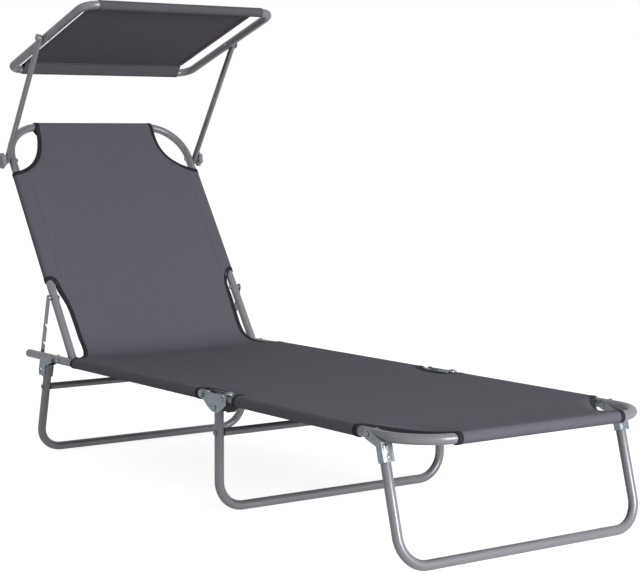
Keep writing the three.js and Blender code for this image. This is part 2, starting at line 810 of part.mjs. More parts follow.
// The plastic stop, hollowed to the foot tube above it; the folded leg rests on its slanted underside
function stopBlock(side) {
  const points = [
    new THREE.Vector2(-seatLength - blockRear, -blockTop),
    new THREE.Vector2(-seatLength - blockRear, -blockRearDepth),
    new THREE.Vector2(-seatLength - blockNose, -blockDepth),
    new THREE.Vector2(-seatLength - blockFront, -tubeRadius - gap),
    new THREE.Vector2(-seatLength - blockFront, -blockTop),
  ];
  const block = sidePlate(points, side * seatHalf - tubeRadius, 2 * tubeRadius);
  const beyond = seatLength + blockFront + overrun;
  const hollow = rod(
    new THREE.Vector3(side * seatHalf, -seatLength, 0),
    new THREE.Vector3(side * seatHalf, -beyond, 0),
    tubeRadius + gap,
  );
  const bore = studRod(side, studDepth + gap, rivetRadius + pinPlay);
  return block.subtract(hollow).subtract(bore);
}

function stopStud(side) {
  const seat = tubeRadius + gap;
  const profile = [
    new THREE.Vector2(0, -studDepth),
    new THREE.Vector2(rivetRadius, -studDepth),
    new THREE.Vector2(rivetRadius, seat),
    new THREE.Vector2(studHead, seat),
  ];
  for (let i = 1; i <= domeSteps; i += 1) {
    const angle = (Math.PI / 2) * (i / domeSteps);
    const rise = studHeadHeight * Math.sin(angle);
    profile.push(new THREE.Vector2(studHead * Math.cos(angle), seat + rise));
  }
  profile[profile.length - 1].x = 0;
  const geometry = new THREE.LatheGeometry(profile, smallSides);
  geometry.rotateX(Math.PI / 2);
  return solidOf(geometry).translate([side * seatHalf, -seatLength - studAlong, 0]);
}

// Mid leg: its tube ends are domed round the pivot
function midLegHoop() {
  const drop = legPivotDrop();
  const height = hoopHeight(seatHeight - drop, 0, midLegLean);
  const domes = Object.values(sides).map((side) => solidOf(
    new THREE.SphereGeometry(tubeRadius, tubeSides, smallSides / 2).rotateX(Math.PI / 2),
  ).translate([side * seatHalf, 0, 0]));
  const bar = hoop(height, 0, 0);
  const bores = [
    rodAcross(seatHalf + tubeRadius + overrun, 0, 0, rivetRadius + pinPlay, boreSides),
    crossbarBore(0, crossbarDrop(seatHeight - drop, 0, midLegLean)),
  ];
  return union([bar, ...domes]).subtract(union(bores));
}

// Canopy arms, along +Y from the knob's bolt
function canopyArm(side) {
  const half = armWidth / 2 - armEdge;
  const shape = new THREE.Shape([
    ...arcPoints(0, 0, half, Math.PI, 2 * Math.PI, smallSides / 2),
    ...arcPoints(0, armLength, half, 0, Math.PI, smallSides / 2),
  ]);
  const geometry = new THREE.ExtrudeGeometry(shape, {
    depth: armThick - 2 * armEdge,
    bevelThickness: armEdge,
    bevelSize: armEdge,
    bevelSegments: 2,
  });
  geometry.rotateY(Math.PI / 2);
  const start = canopyHalf + canopyRadius + gap + armEdge;
  const arm = solidOf(geometry).translate([start, 0, 0]);
  const across = canopyHalf + canopyRadius + 2 * armThick;
  const bores = [0, armLength].map((y) => rodAcross(across, y, 0, boltRadius + pinPlay, boreSides));
  const bored = arm.subtract(union(bores));
  return side < 0 ? bored.mirror([1, 0, 0]) : bored;
}

function armFace() {
  return canopyHalf + canopyRadius + gap + armThick + gap;
}

function canopyBolt(side) {
  const bar = canopyHalf - canopyRadius - gap;
  return turnedPin([
    [bar - nutHeight, nutRadius - nutHeight / 2],
    [bar, nutRadius],
    [bar, boltRadius],
    [armFace(), boltRadius],
    [armFace(), boltHead],
    [armFace() + boltHeadHeight / 2, boltHead],
    [armFace() + boltHeadHeight, boltHead - boltHeadHeight],
  ], side, armLength);
}

function knobBolt(side) {
  const bar = backHalf - tubeRadius - gap;
  return turnedPin([
    [bar - nutHeight, nutRadius - nutHeight / 2],
    [bar, nutRadius],
    [bar, boltRadius],
    [armFace() + knobBore - pinPlay, boltRadius],
  ], side, knobAlong);
}

// A star knob: lobes round a disc with rounded rims, on a short hub towards the arm
function starKnob(side) {
  const points = [];
  const count = knobLobes * lobeSteps;
  for (let i = 0; i < count; i += 1) {
    const angle = (i / count) * 2 * Math.PI;
    const radius = knobRadius - knobRound - knobDip * (0.5 - 0.5 * Math.cos(knobLobes * angle));
    points.push(new THREE.Vector2(radius * Math.cos(angle), radius * Math.sin(angle)));
  }
  const geometry = new THREE.ExtrudeGeometry(new THREE.Shape(points), {
    depth: knobThick - 2 * knobRound,
    bevelThickness: knobRound,
    bevelSize: knobRound,
    bevelSegments: 1,
  });
  geometry.rotateY(Math.PI / 2);
  const star = solidOf(geometry).translate([armFace() + knobHubHeight + knobRound, 0, 0]);
  const hub = turnedPin([[armFace(), knobHub], [armFace() + knobHubHeight + knobRound, knobHub]], 1);
  const bore = turnedPin([
    [armFace() - overrun, boltRadius + pinPlay],
    [armFace() + knobBore, boltRadius + pinPlay],
  ], 1);
  const knob = star.add(hub).subtract(bore);
  return side < 0 ? knob.mirror([1, 0, 0]) : knob;
}

// Canopy, with the bolts' axis at its middle and the rear bar towards +Y
function canopyTube() {
  const half = canopyDepth / 2;
  const loop = tube([
    new THREE.Vector3(-canopyHalf, -half, 0),
    new THREE.Vector3(canopyHalf, -half, 0),
    new THREE.Vector3(canopyHalf, half, 0),
    new THREE.Vector3(-canopyHalf, half, 0),
  ], canopyBend, canopyRadius, true);
  const across = canopyHalf + canopyRadius + overrun;
  return loop.subtract(rodAcross(across, 0, 0, boltRadius + pinPlay, boreSides));
}

// The canopy's cloth: a sheet over both bars, turned under each bar and sewn back to itself as a hem
function canopyCloth() {
  const half = canopyDepth / 2;
  const inner = canopyRadius + gap;
  const outer = inner + canopyFabric;
  const hemTop = outer - canopyFabric;
  const rear = [
    new THREE.Vector2(half - hemLength, hemTop),
    new THREE.Vector2(half - hemLength, hemTop - canopyFabric),
    ...arcPoints(half, 0, outer, -Math.PI * 0.62, Math.PI / 2, 10),
  ];
  const front = rear.map((point) => new THREE.Vector2(-point.x, point.y)).reverse();
  const profile = sidePlate([...rear, ...front], -canopyFabricHalf, 2 * canopyFabricHalf);
  const bores = [-half, half].map((y) => rodAcross(canopyFabricHalf + overrun, y, 0, inner, tubeSides));
  return profile.subtract(union(bores));
}

// The left and right copies of a piece, each its own mesh
function addPair(group, name, make, material) {
  Object.entries(sides).forEach(([sideName, side]) => {
    group.add(mesh(`${name}_${sideName}`, make(side), material));
  });
}

function buildBackrest() {
  const group = new THREE.Group();
  group.position.z = seatHeight;
  group.rotation.x = backAngle;
  group.add(mesh('backrest_tube', backrestTube(), paint));
  group.add(mesh('sling_back', slingBack(), sling));
  addPair(group, 'ratchet_pivot', ratchetPin, zinc);
  addPair(group, 'knob_bolt', knobBolt, zinc);
  return group;
}

function buildSeat() {
  const group = new THREE.Group();
  group.position.z = seatHeight;
  group.add(mesh('sling_seat', slingSeat(), sling));
  group.add(mesh('sling_recline_fold', slingReclineFold(), sling));
  addPair(group, 'seat_tube', seatTube, paint);
  addPair(group, 'end_plug', endPlug, paint);
  addPair(group, 'recline_bolt', reclineBolt, zinc);
  addPair(group, 'ratchet_stub', ratchetStub, zinc);
  addPair(group, 'rear_leg_rivet', (side) => plateRivet(side, rearPivotY, 0, plateThick, rivetHead,
    rivetHeadHeight), zinc);
  addPair(group, 'fold_pin', (side) => plateRivet(side, -seatLength, foldPinRise, cheekThick, pinHead,
    pinHeadHeight), zinc);
  return group;
}

function buildRatchets() {
  const group = new THREE.Group();
  const pivot = ratchetPivotAt(backAngle);
  const stub = new THREE.Vector2(ratchetStubY, 0).sub(pivot);
  Object.entries(sides).forEach(([name, side]) => {
    const strip = mesh(`ratchet_strip_${name}`, ratchetStrip(), zinc);
    strip.position.set(side * ratchetOffset, pivot.x, seatHeight + pivot.y);
    strip.rotation.x = Math.atan2(stub.x, -stub.y);
    group.add(strip);
  });
  return group;
}

// An end leg leans outwards at its foot; the front one is the rear one's mirror image, without the crossbar
function buildRearLeg() {
  const group = new THREE.Group();
  const barDrop = crossbarDrop(seatHeight, legInset, legLean);
  group.position.set(0, rearPivotY, seatHeight);
  group.rotation.x = legLean;
  group.add(mesh('rear_leg_hoop', endLegHoop().subtract(crossbarBore(legInset, barDrop)), paint));
  group.add(mesh('rear_crossbar', crossbar(legInset, barDrop), paint));
  addPair(group, 'rear_leg_bracket', (side) => legBracket().translate([side * seatHalf, 0, 0]), zinc);
  return group;
}

function buildFrontLeg() {
  const group = new THREE.Group();
  const mirrored = (solid) => solid.mirror([0, 1, 0]);
  group.position.set(0, frontPivotY, seatHeight);
  group.rotation.x = -legLean;
  group.add(mesh('front_leg_hoop', mirrored(endLegHoop()), paint));
  const bracket = (side) => mirrored(legBracket()).translate([side * seatHalf, 0, 0]);
  addPair(group, 'front_leg_bracket', bracket, zinc);
  return group;
}

function buildMidLeg() {
  const group = new THREE.Group();
  const drop = legPivotDrop();
  group.position.set(0, midLegY, seatHeight - drop);
  group.rotation.x = midLegLean;
  group.add(mesh('mid_leg_hoop', midLegHoop(), paint));
  group.add(mesh('mid_crossbar', crossbar(0, crossbarDrop(seatHeight - drop, 0, midLegLean)), paint));
  return group;
}

function buildFoot() {
  const group = new THREE.Group();
  group.position.z = seatHeight;
  group.add(mesh('foot_tube', footTube(), paint));
  group.add(mesh('sling_foot', slingFoot(), sling));
  group.add(mesh('sling_mid_fold', slingMidFold(), sling));
  addPair(group, 'hinge_cheek_outer', (side) => hingeCheek(side, 1), zinc);
  addPair(group, 'hinge_cheek_inner', (side) => hingeCheek(side, -1), zinc);
  addPair(group, 'stop_block', stopBlock, black);
  addPair(group, 'stop_stud', stopStud, zinc);
  addPair(group, 'hinge_rivet', (side) => plateRivet(side, cheekRivetY, 0, cheekThick, rivetHead,
    flatHeadHeight), zinc);
  addPair(group, 'mid_leg_rivet', (side) => plateRivet(side, midLegY, -legPivotDrop(), cheekThick, rivetHead,
    flatHeadHeight), zinc);
  addPair(group, 'front_leg_rivet', (side) => plateRivet(side, frontPivotY, 0, plateThick, rivetHead,
    rivetHeadHeight), zinc);
  return group;
}

function buildCanopy() {
  const arms = new THREE.Group();
  arms.position.set(0, knobAlong * Math.cos(backAngle), seatHeight + knobAlong * Math.sin(backAngle));
  arms.rotation.x = armAngle;
  addPair(arms, 'canopy_arm', canopyArm, paint);
  addPair(arms, 'star_knob', starKnob, knobPlastic);
  addPair(arms, 'canopy_bolt', canopyBolt, zinc);
  const canopy = new THREE.Group();
  canopy.position.y = armLength;
  canopy.rotation.x = -canopyTilt - armAngle;
  canopy.add(mesh('canopy_tube', canopyTube(), paint));
  canopy.add(mesh('canopy_fabric', canopyCloth(), shade));
  arms.add(canopy);
  return arms;
}

const lounger = new THREE.Group();
lounger.add(buildSeat());
lounger.add(buildBackrest());
lounger.add(buildRatchets());
lounger.add(buildRearLeg());
lounger.add(buildMidLeg());
lounger.add(buildFrontLeg());
lounger.add(buildFoot());
lounger.add(buildCanopy());

lounger.updateMatrixWorld(true);
const box = new THREE.Box3().setFromObject(lounger, true);
lounger.position.set(-(box.min.x + box.max.x) / 2, -(box.min.y + box.max.y) / 2, -box.min.z);

export default lounger;
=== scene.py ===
import json
import math
import bmesh
import bpy
import numpy as np
from mathutils import Matrix, Vector


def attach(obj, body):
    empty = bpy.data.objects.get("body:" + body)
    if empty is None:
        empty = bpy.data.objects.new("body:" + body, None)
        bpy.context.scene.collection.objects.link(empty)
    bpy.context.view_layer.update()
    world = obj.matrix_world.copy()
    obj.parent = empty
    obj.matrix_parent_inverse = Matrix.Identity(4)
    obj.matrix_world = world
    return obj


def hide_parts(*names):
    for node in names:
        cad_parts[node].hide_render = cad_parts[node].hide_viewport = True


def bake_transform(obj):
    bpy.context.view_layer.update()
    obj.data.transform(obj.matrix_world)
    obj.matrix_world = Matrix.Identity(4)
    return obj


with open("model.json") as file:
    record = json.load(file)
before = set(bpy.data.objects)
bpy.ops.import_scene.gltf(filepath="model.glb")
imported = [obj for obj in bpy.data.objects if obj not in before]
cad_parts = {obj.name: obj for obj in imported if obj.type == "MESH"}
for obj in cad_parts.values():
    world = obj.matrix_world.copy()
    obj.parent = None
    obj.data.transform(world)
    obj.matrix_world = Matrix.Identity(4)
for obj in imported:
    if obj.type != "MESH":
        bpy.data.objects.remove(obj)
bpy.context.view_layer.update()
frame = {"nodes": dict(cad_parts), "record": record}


def deselect():
    bpy.ops.object.select_all(action="DESELECT")


deselect()

# Layout of the lounger in metres, measured from the recline pivot
layout = {
    "pivotY": 0.482029, "seatHeight": 0.232, "seatHalf": 0.280, "tubeRadius": 0.0095,
    "seatLength": 0.650, "rearOverhang": 0.166, "footLength": 0.679, "footStart": 0.043,
    "cornerBend": 0.095, "backHalf": 0.249, "backLength": 0.651, "backTail": 0.012,
    "backAngle": math.radians(55.9), "foldPinRise": 0.003,
    "legBend": 0.055, "legInset": 0.026, "legLean": math.radians(15), "midLean": math.radians(0.7),
    "rearPivotY": 0.0337, "frontPivotY": -1.205, "midLegY": -0.6994, "midDrop": 0.0196,
    "hingeRivetY": -0.727, "legTopDrop": 0.022, "studY": -0.7385, "crossbarRadius": 0.008,
    "crossbarDepth": 0.070, "armLength": 0.348, "armAngle": math.radians(124.3), "knobAlong": 0.552,
    "canopyHalf": 0.251, "canopyDepth": 0.429, "canopyRadius": 0.0095, "canopyBend": 0.034,
    "canopyTilt": math.radians(17.6), "ratchetAlong": 0.165, "ratchetStubY": 0.1302,
}
sides = {"left": -1, "right": 1}
identity = Matrix.Identity(4)


def frameAt(y, z, angle):
    # a turned working frame: its own +Y runs along the piece, its own +Z is the upper side
    return Matrix.Translation((0, y + layout["pivotY"], z)) @ Matrix.Rotation(angle, 4, "X")


seatFrame = frameAt(0, layout["seatHeight"], 0)
backFrame = frameAt(0, layout["seatHeight"], layout["backAngle"])
knobPlace = backFrame @ Vector((0, layout["knobAlong"], 0))
armFrame = Matrix.Translation(knobPlace) @ Matrix.Rotation(layout["armAngle"], 4, "X")
canopyPlace = armFrame @ Vector((0, layout["armLength"], 0))
canopyFrame = Matrix.Translation(canopyPlace) @ Matrix.Rotation(-layout["canopyTilt"], 4, "X")
rearLegFrame = frameAt(layout["rearPivotY"], layout["seatHeight"], layout["legLean"])
frontLegFrame = frameAt(layout["frontPivotY"], layout["seatHeight"], -layout["legLean"])
midLegFrame = frameAt(layout["midLegY"], layout["seatHeight"] - layout["midDrop"], layout["midLean"])

# Camera at the photograph's angle
view = {
    "place": (-2.0081, -3.5315 + layout["pivotY"], 0.7381), "yaw": 0.6083, "pitch": 0.0867,
    "roll": -0.003, "focal": 1693.9, "middle": (320.27, 286.95), "image": (640, 572),
    "sensor": 36, "farthest": 60,
}


def makeCamera():
    yaw, pitch, roll = view["yaw"], view["pitch"], view["roll"]
    forward = Vector((math.sin(yaw) * math.cos(pitch), math.cos(yaw) * math.cos(pitch), -math.sin(pitch)))
    level = Vector((math.cos(yaw), -math.sin(yaw), 0))
    upright = level.cross(forward)
    right = level * math.cos(roll) + upright * math.sin(roll)
    up = upright * math.cos(roll) - level * math.sin(roll)
    bpy.ops.object.camera_add(location=view["place"])
    cameraObject = bpy.context.object
    turn = Matrix((right, up, -forward)).transposed()
    cameraObject.rotation_euler = turn.to_euler()
    data = cameraObject.data
    width, height = view["image"]
    data.sensor_width = view["sensor"]
    data.lens = view["focal"] / width * view["sensor"]
    data.shift_x = (width / 2 - view["middle"][0]) / width
    data.shift_y = (view["middle"][1] - height / 2) / width
    data.clip_end = view["farthest"]
    bpy.context.scene.camera = cameraObject
    deselect()


makeCamera()
print("camera placed")


# Materials
def startMaterial(name, colour, roughness, metallic=0.0, gloss=0.5, edge=(1, 1, 1)):
    material = bpy.data.materials.new(name)
    material.use_nodes = True
    tree = material.node_tree
    shader = tree.nodes["Principled BSDF"]
    values = {"Base Color": (*colour, 1), "Roughness": roughness, "Metallic": metallic,
              "Specular IOR Level": gloss, "Specular Tint": (*edge, 1)}
    for socket, value in values.items():
        shader.inputs[socket].default_value = value
    return material, tree, shader


def addNode(tree, kind, settings=None, **fields):
    # a node whose inputs take a value or, where one is given, another node's output
    node = tree.nodes.new(kind)
    for field, value in fields.items():
        setattr(node, field, value)
    for socket, value in (settings or {}).items():
        if isinstance(value, bpy.types.NodeSocket):
            tree.links.new(value, node.inputs[socket])
        else:
            node.inputs[socket].default_value = value
    return node


def calculate(tree, operation, *values):
    return addNode(tree, "ShaderNodeMath", dict(enumerate(values)), operation=operation).outputs[0]


def objectNoise(tree, scale, detail):
    place = addNode(tree, "ShaderNodeTexCoord").outputs["Object"]
    return addNode(tree, "ShaderNodeTexNoise", {"Scale": scale, "Detail": detail, "Vector": place}).outputs["Fac"]


def colourBetween(tree, factor, low, high, shader):
    ramp = addNode(tree, "ShaderNodeValToRGB", {"Fac": factor})
    ramp.color_ramp.elements[0].color = (*low, 1)
    ramp.color_ramp.elements[1].color = (*high, 1)
    tree.links.new(ramp.outputs["Color"], shader.inputs["Base Color"])
    return ramp


def addRelief(tree, shader, height, strength, distance):
    bump = addNode(tree, "ShaderNodeBump", {"Strength": strength, "Distance": distance, "Height": height})
    tree.links.new(bump.outputs["Normal"], shader.inputs["Normal"])


paintLook = {"low": (0.205, 0.207, 0.224), "high": (0.245, 0.248, 0.266), "roughness": 0.30, "metallic": 0.25,
             "edge": (0.55, 0.56, 0.58), "gloss": 0.2, "cloud": 14, "peel": 900, "relief": 0.25,
             "peelDepth": 0.00005}


def powderCoat():
    look = paintLook
    material, tree, shader = startMaterial("satinPowderCoat", look["low"], look["roughness"], look["metallic"],
                                           look["gloss"], look["edge"])
    colourBetween(tree, objectNoise(tree, look["cloud"], 3), look["low"], look["high"], shader)
    addRelief(tree, shader, objectNoise(tree, look["peel"], 2), look["relief"], look["peelDepth"])
    return material


zincLook = {"low": (0.180, 0.205, 0.225), "high": (0.245, 0.275, 0.298), "roughness": 0.34, "metallic": 0.65,
            "edge": (0.6, 0.62, 0.64), "spangle": 220, "scratch": 420, "relief": 0.3, "scratchDepth": 0.00008}


def galvanised(name, tone=1.0):
    look = zincLook
    low, high = [tuple(tone * part for part in look[end]) for end in ("low", "high")]
    material, tree, shader = startMaterial(name, low, look["roughness"], look["metallic"], edge=look["edge"])
    place = addNode(tree, "ShaderNodeTexCoord").outputs["Object"]
    flakes = addNode(tree, "ShaderNodeTexVoronoi", {"Scale": look["spangle"], "Vector": place})
    grey = addNode(tree, "ShaderNodeSeparateColor", {"Color": flakes.outputs["Color"]})
    colourBetween(tree, grey.outputs["Red"], low, high, shader)
    addRelief(tree, shader, objectNoise(tree, look["scratch"], 4), look["relief"], look["scratchDepth"])
    return material


weaveLook = {"roughness": 0.82, "gloss": 0.06, "stretch": (1.0, 0.35, 1.0), "slub": 420, "threads": 0.16,
             "darkAt": 0.25, "lightAt": 0.8, "relief": 0.35, "depth": 0.0003}
stitchLook = {"half": 0.0007, "pitch": 0.0042, "share": 0.68, "height": 1.4}


def wovenCloth(name, dark, light, threadPitch, thread):
    # plain weave on the cloth's own UV map, which is in metres along the cloth
    look = weaveLook
    material, tree, shader = startMaterial(name, dark, look["roughness"], gloss=look["gloss"])
    uv = addNode(tree, "ShaderNodeUVMap", uv_map="clothMap").outputs["UV"]
    split = addNode(tree, "ShaderNodeSeparateXYZ", {"Vector": uv}).outputs
    waves = [calculate(tree, "SINE", calculate(tree, "MULTIPLY", split[axis], math.pi / threadPitch))
             for axis in ("X", "Y")]
    stretch = addNode(tree, "ShaderNodeMapping", {"Scale": look["stretch"], "Vector": uv})
    slub = addNode(tree, "ShaderNodeTexNoise", {"Scale": look["slub"], "Detail": 4, "Roughness": 0.7,
                                                "Vector": stretch.outputs["Vector"]})
    threads = calculate(tree, "MULTIPLY_ADD", calculate(tree, "MULTIPLY", *waves), look["threads"],
                        slub.outputs["Fac"])
    ramp = colourBetween(tree, threads, dark, light, shader)
    ramp.color_ramp.elements[0].position = look["darkAt"]
    ramp.color_ramp.elements[1].position = look["lightAt"]
    addRelief(tree, shader, addStitches(tree, thread, ramp, threads, shader), look["relief"], look["depth"])
    return material


def addStitches(tree, thread, ramp, threads, shader):
    # dashes of thread where the seam attribute, the distance to the sewn line, is nearly nothing
    seam = addNode(tree, "ShaderNodeAttribute", attribute_name="seam").outputs["Vector"]
    away = addNode(tree, "ShaderNodeSeparateXYZ", {"Vector": seam}).outputs
    near = calculate(tree, "LESS_THAN", calculate(tree, "ABSOLUTE", away["X"]), stitchLook["half"])
    onLine = calculate(tree, "MULTIPLY", near, calculate(tree, "GREATER_THAN", away["Z"], 0.5))
    dash = calculate(tree, "FRACT", calculate(tree, "MULTIPLY", away["Y"], 1 / stitchLook["pitch"]))
    stitch = calculate(tree, "MULTIPLY", onLine, calculate(tree, "LESS_THAN", dash, stitchLook["share"]))
    mix = addNode(tree, "ShaderNodeMix", {"Factor": stitch, "A": ramp.outputs["Color"], "B": (*thread, 1)},
                  data_type="RGBA")
    tree.links.new(mix.outputs["Result"], shader.inputs["Base Color"])
    return calculate(tree, "MULTIPLY_ADD", stitch, stitchLook["height"], threads)


ribLook = {"base": (0.028, 0.026, 0.033), "low": (0.020, 0.019, 0.024), "high": (0.036, 0.034, 0.042),
           "roughness": 0.85, "gloss": 0.1, "ribs": 260, "waver": 0.4, "relief": 0.4, "depth": 0.0002}


def bindingTape():
    # ribbed grosgrain tape: fine ribs across its length
    look = ribLook
    material, tree, shader = startMaterial("bindingTape", look["base"], look["roughness"], gloss=look["gloss"])
    uv = addNode(tree, "ShaderNodeUVMap", uv_map="clothMap").outputs["UV"]
    ribs = addNode(tree, "ShaderNodeTexWave", {"Scale": look["ribs"], "Distortion": look["waver"], "Detail": 1,
                                               "Vector": uv}, bands_direction="X").outputs["Fac"]
    colourBetween(tree, ribs, look["low"], look["high"], shader)
    addRelief(tree, shader, ribs, look["relief"], look["depth"])
    return material


plasticLook = {"grain": 700, "relief": 0.3, "depth": 0.00006}


def mouldedPlastic(name, low, high, roughness, gloss=0.5):
    material, tree, shader = startMaterial(name, low, roughness, gloss=gloss)
    grain = objectNoise(tree, plasticLook["grain"], 3)
    colourBetween(tree, grain, low, high, shader)
    addRelief(tree, shader, grain, plasticLook["relief"], plasticLook["depth"])
    return material


slotMaterials = {
    "frame_paint": powderCoat(),
    "zinc_hardware": galvanised("galvanisedSteel"),
    "sling_fabric": wovenCloth("slingWeave", (0.096, 0.091, 0.112), (0.146, 0.140, 0.166), 0.0011,
                               (0.085, 0.081, 0.098)),
    "canopy_fabric": wovenCloth("canopyWeave", (0.088, 0.081, 0.095), (0.128, 0.119, 0.137), 0.0009,
                                (0.024, 0.022, 0.028)),
    "knob_plastic": mouldedPlastic("greyKnobPlastic", (0.17, 0.175, 0.19), (0.21, 0.215, 0.23), 0.42),
    "stop_plastic": mouldedPlastic("blackStopPlastic", (0.010, 0.010, 0.012), (0.018, 0.018, 0.021), 0.55, 0.15),
    "plug_plastic": mouldedPlastic("greyPlugPlastic", (0.17, 0.17, 0.18), (0.21, 0.21, 0.22), 0.5),
}
# a copy of the galvanised steel at 0.35 of its brightness, for the inner hinge plates: painted shade, since those
# plates sit in shade between the cheeks
shadedInnerZinc = galvanised("galvanisedSteelPaintedShade", 0.35)
tape = bindingTape()
for entry in frame["record"]["subparts"]:
    solid = frame["nodes"][entry["node"]].data
    solid.materials.clear()
    solid.materials.append(slotMaterials[entry["material_slot"]])
print("materials made")


# Shared modelling moves
def editStart():
    bpy.ops.object.mode_set(mode="EDIT")
    bpy.ops.mesh.select_mode(type="VERT")


def editEnd():
    bpy.ops.object.mode_set(mode="OBJECT")


def selectOnly(obj):
    deselect()
    obj.select_set(True)
    bpy.context.view_layer.objects.active = obj


def faceOutwards():
    bpy.ops.mesh.select_all(action="SELECT")
    bpy.ops.mesh.normals_make_consistent(inside=False)


def pickVertices(obj, test):
    # select, in edit mode, the vertices whose place passes the test
    mesh = bmesh.from_edit_mesh(obj.data)
    for vertex in mesh.verts:
        vertex.select = test(vertex.co)
    mesh.select_flush_mode()
    bmesh.update_edit_mesh(obj.data)


def finishPiece(obj, name, place, body, nodes=(), slot="frame_paint", smooth=35, material=None):
    obj.name = name
    obj.data.name = name
    obj.data.transform(place @ obj.matrix_world)
    obj.matrix_world = identity
    obj.data.materials.clear()
    obj.data.materials.append(material or slotMaterials[slot])
    selectOnly(obj)
    bpy.ops.object.shade_smooth_by_angle(angle=math.radians(smooth))
    obj.select_set(False)
    if body:
        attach(obj, body)
    if nodes:
        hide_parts(*nodes)


def finishSide(obj, name, node, side, place, body, slot="zinc_hardware"):
    # one of a pair, named after its side as the solid it replaces is
    finishPiece(obj, name + "_" + side, place, body, [node + "_" + side], slot)


def joinPieces(pieces):
    selectOnly(pieces[0])
    for piece in pieces:
        piece.select_set(True)
    bpy.ops.object.join()
    return bpy.context.object


def applyModifier(obj, name, kind, **settings):
    modifier = obj.modifiers.new(name, kind)
    for field, value in settings.items():
        setattr(modifier, field, value)
    bpy.context.view_layer.objects.active = obj
    bpy.ops.object.modifier_apply(modifier=modifier.name)


def bevelEdges(obj, width, segments=2, angle=60):
    applyModifier(obj, "softEdge", "BEVEL", width=width, segments=segments, limit_method="ANGLE",
                  angle_limit=math.radians(angle))
    return obj


def applyPlace():
    bpy.ops.object.transform_apply(location=True, rotation=True, scale=True)
    return bpy.context.object


def addCylinder(radius, depth, ring, place=(0, 0, 0), turn=(0, 0, 0)):
    bpy.ops.mesh.primitive_cylinder_add(vertices=ring, radius=radius, depth=depth, location=place, rotation=turn)
    return applyPlace()


def roundRim(obj, test, offset, segments, clamp=True):
    # the rim whose vertices pass the test is rounded over
    editStart()
    pickVertices(obj, test)
    bpy.ops.mesh.bevel(offset=offset, segments=segments, affect="EDGES", clamp_overlap=clamp)
    editEnd()
    return obj


tubeLook = {"ring": 30, "steps": 12, "canopyRing": 28, "brokenEdge": 0.0012, "railEdge": 0.002, "railEnd": 0.009,
            "domeTop": -0.0005, "domeEdge": 0.0085, "domeSmooth": 50, "merge": 0.00002}


def bendTube(corners, bend, radius, ring=tubeLook["ring"], closed=False):
    # a ring of points, drawn out along the straights and spun round each bend
    corners = [Vector(corner) for corner in corners]
    begin = (corners[0] + corners[-1]) / 2 if closed else corners[0]
    route = corners if closed else corners[1:-1]
    ends = route + [begin if closed else corners[-1]]
    first = (route[0] - begin).normalized()
    bpy.ops.mesh.primitive_circle_add(vertices=ring, radius=radius, location=begin,
                                      rotation=first.to_track_quat("Z", "Y").to_euler())
    obj = applyPlace()
    editStart()
    bpy.ops.mesh.select_all(action="SELECT")
    here = begin.copy()
    for corner, following in zip(route, ends[1:]):
        into = (corner - here).normalized()
        out = (following - corner).normalized()
        turn = into.angle(out)
        reach = bend * math.tan(turn / 2)
        start = corner - into * reach
        bpy.ops.mesh.extrude_region_move(TRANSFORM_OT_translate={"value": start - here})
        side = (out - into * out.dot(into)).normalized()
        bpy.ops.mesh.spin(steps=tubeLook["steps"], angle=-turn, center=start + side * bend,
                          axis=into.cross(out).normalized())
        here = corner + out * reach
    bpy.ops.mesh.extrude_region_move(TRANSFORM_OT_translate={"value": ends[-1] - here})
    bpy.ops.mesh.select_all(action="SELECT")
    bpy.ops.mesh.remove_doubles(threshold=tubeLook["merge"])
    if not closed:
        bpy.ops.mesh.fill_holes(sides=0)
    faceOutwards()
    editEnd()
    return obj


def straightTube(start, end, radius, ring):
    start, end = Vector(start), Vector(end)
    return addCylinder(radius, (end - start).length, ring, (start + end) / 2,
                       (end - start).to_track_quat("Z", "Y").to_euler())


def hairpin(half, start, bar):
    return [(-half, start, 0), (-half, bar, 0), (half, bar, 0), (half, start, 0)]


# Frame tubes
def makeFrameTubes():
    radius, bend = layout["tubeRadius"], layout["cornerBend"]
    half, length = layout["seatHalf"], layout["seatLength"]
    back = bendTube(hairpin(layout["backHalf"], -layout["backTail"], layout["backLength"]), bend, radius)
    finishPiece(bevelEdges(back, tubeLook["brokenEdge"]), "backrestHairpin", backFrame, "backrest", ["backrest_tube"])
    foot = bendTube(hairpin(half, -length - layout["footStart"], -length - layout["footLength"]), bend, radius)
    finishPiece(bevelEdges(foot, tubeLook["brokenEdge"]), "footHairpin", seatFrame, "foot_frame", ["foot_tube"])
    for side, sign in sides.items():
        x = sign * half
        rail = straightTube((x, layout["rearOverhang"], 0), (x, -length - tubeLook["railEnd"], 0), radius,
                            tubeLook["ring"])
        finishSide(bevelEdges(rail, tubeLook["railEdge"]), "seatRail", "seat_tube", side, seatFrame, "seat_frame",
                   "frame_paint")


def legHoop(pivotHeight, inset, top, lean, sign):
    drop = (pivotHeight - layout["tubeRadius"] + inset * math.sin(lean)) / math.cos(lean)
    half = layout["seatHalf"]
    y = sign * inset
    return bendTube([(-half, y, -top), (-half, y, -drop), (half, y, -drop), (half, y, -top)],
                    layout["legBend"], layout["tubeRadius"])


def makeLegs():
    height = layout["seatHeight"]
    for name, place, sign in (("rear", rearLegFrame, 1), ("front", frontLegFrame, -1)):
        hoop = legHoop(height, layout["legInset"], layout["legTopDrop"], layout["legLean"], sign)
        bevelEdges(hoop, tubeLook["brokenEdge"])
        finishPiece(hoop, name + "Hoop", place, name + "_leg", [name + "_leg_hoop"])
    # the tops of the middle leg are domed
    middle = legHoop(height - layout["midDrop"], 0, tubeLook["domeTop"], layout["midLean"], 1)
    bevelEdges(middle, tubeLook["domeEdge"], 5)
    finishPiece(middle, "middleHoop", midLegFrame, "mid_leg", ["mid_leg_hoop"], smooth=tubeLook["domeSmooth"])


makeFrameTubes()
makeLegs()
print("frame tubes bent")


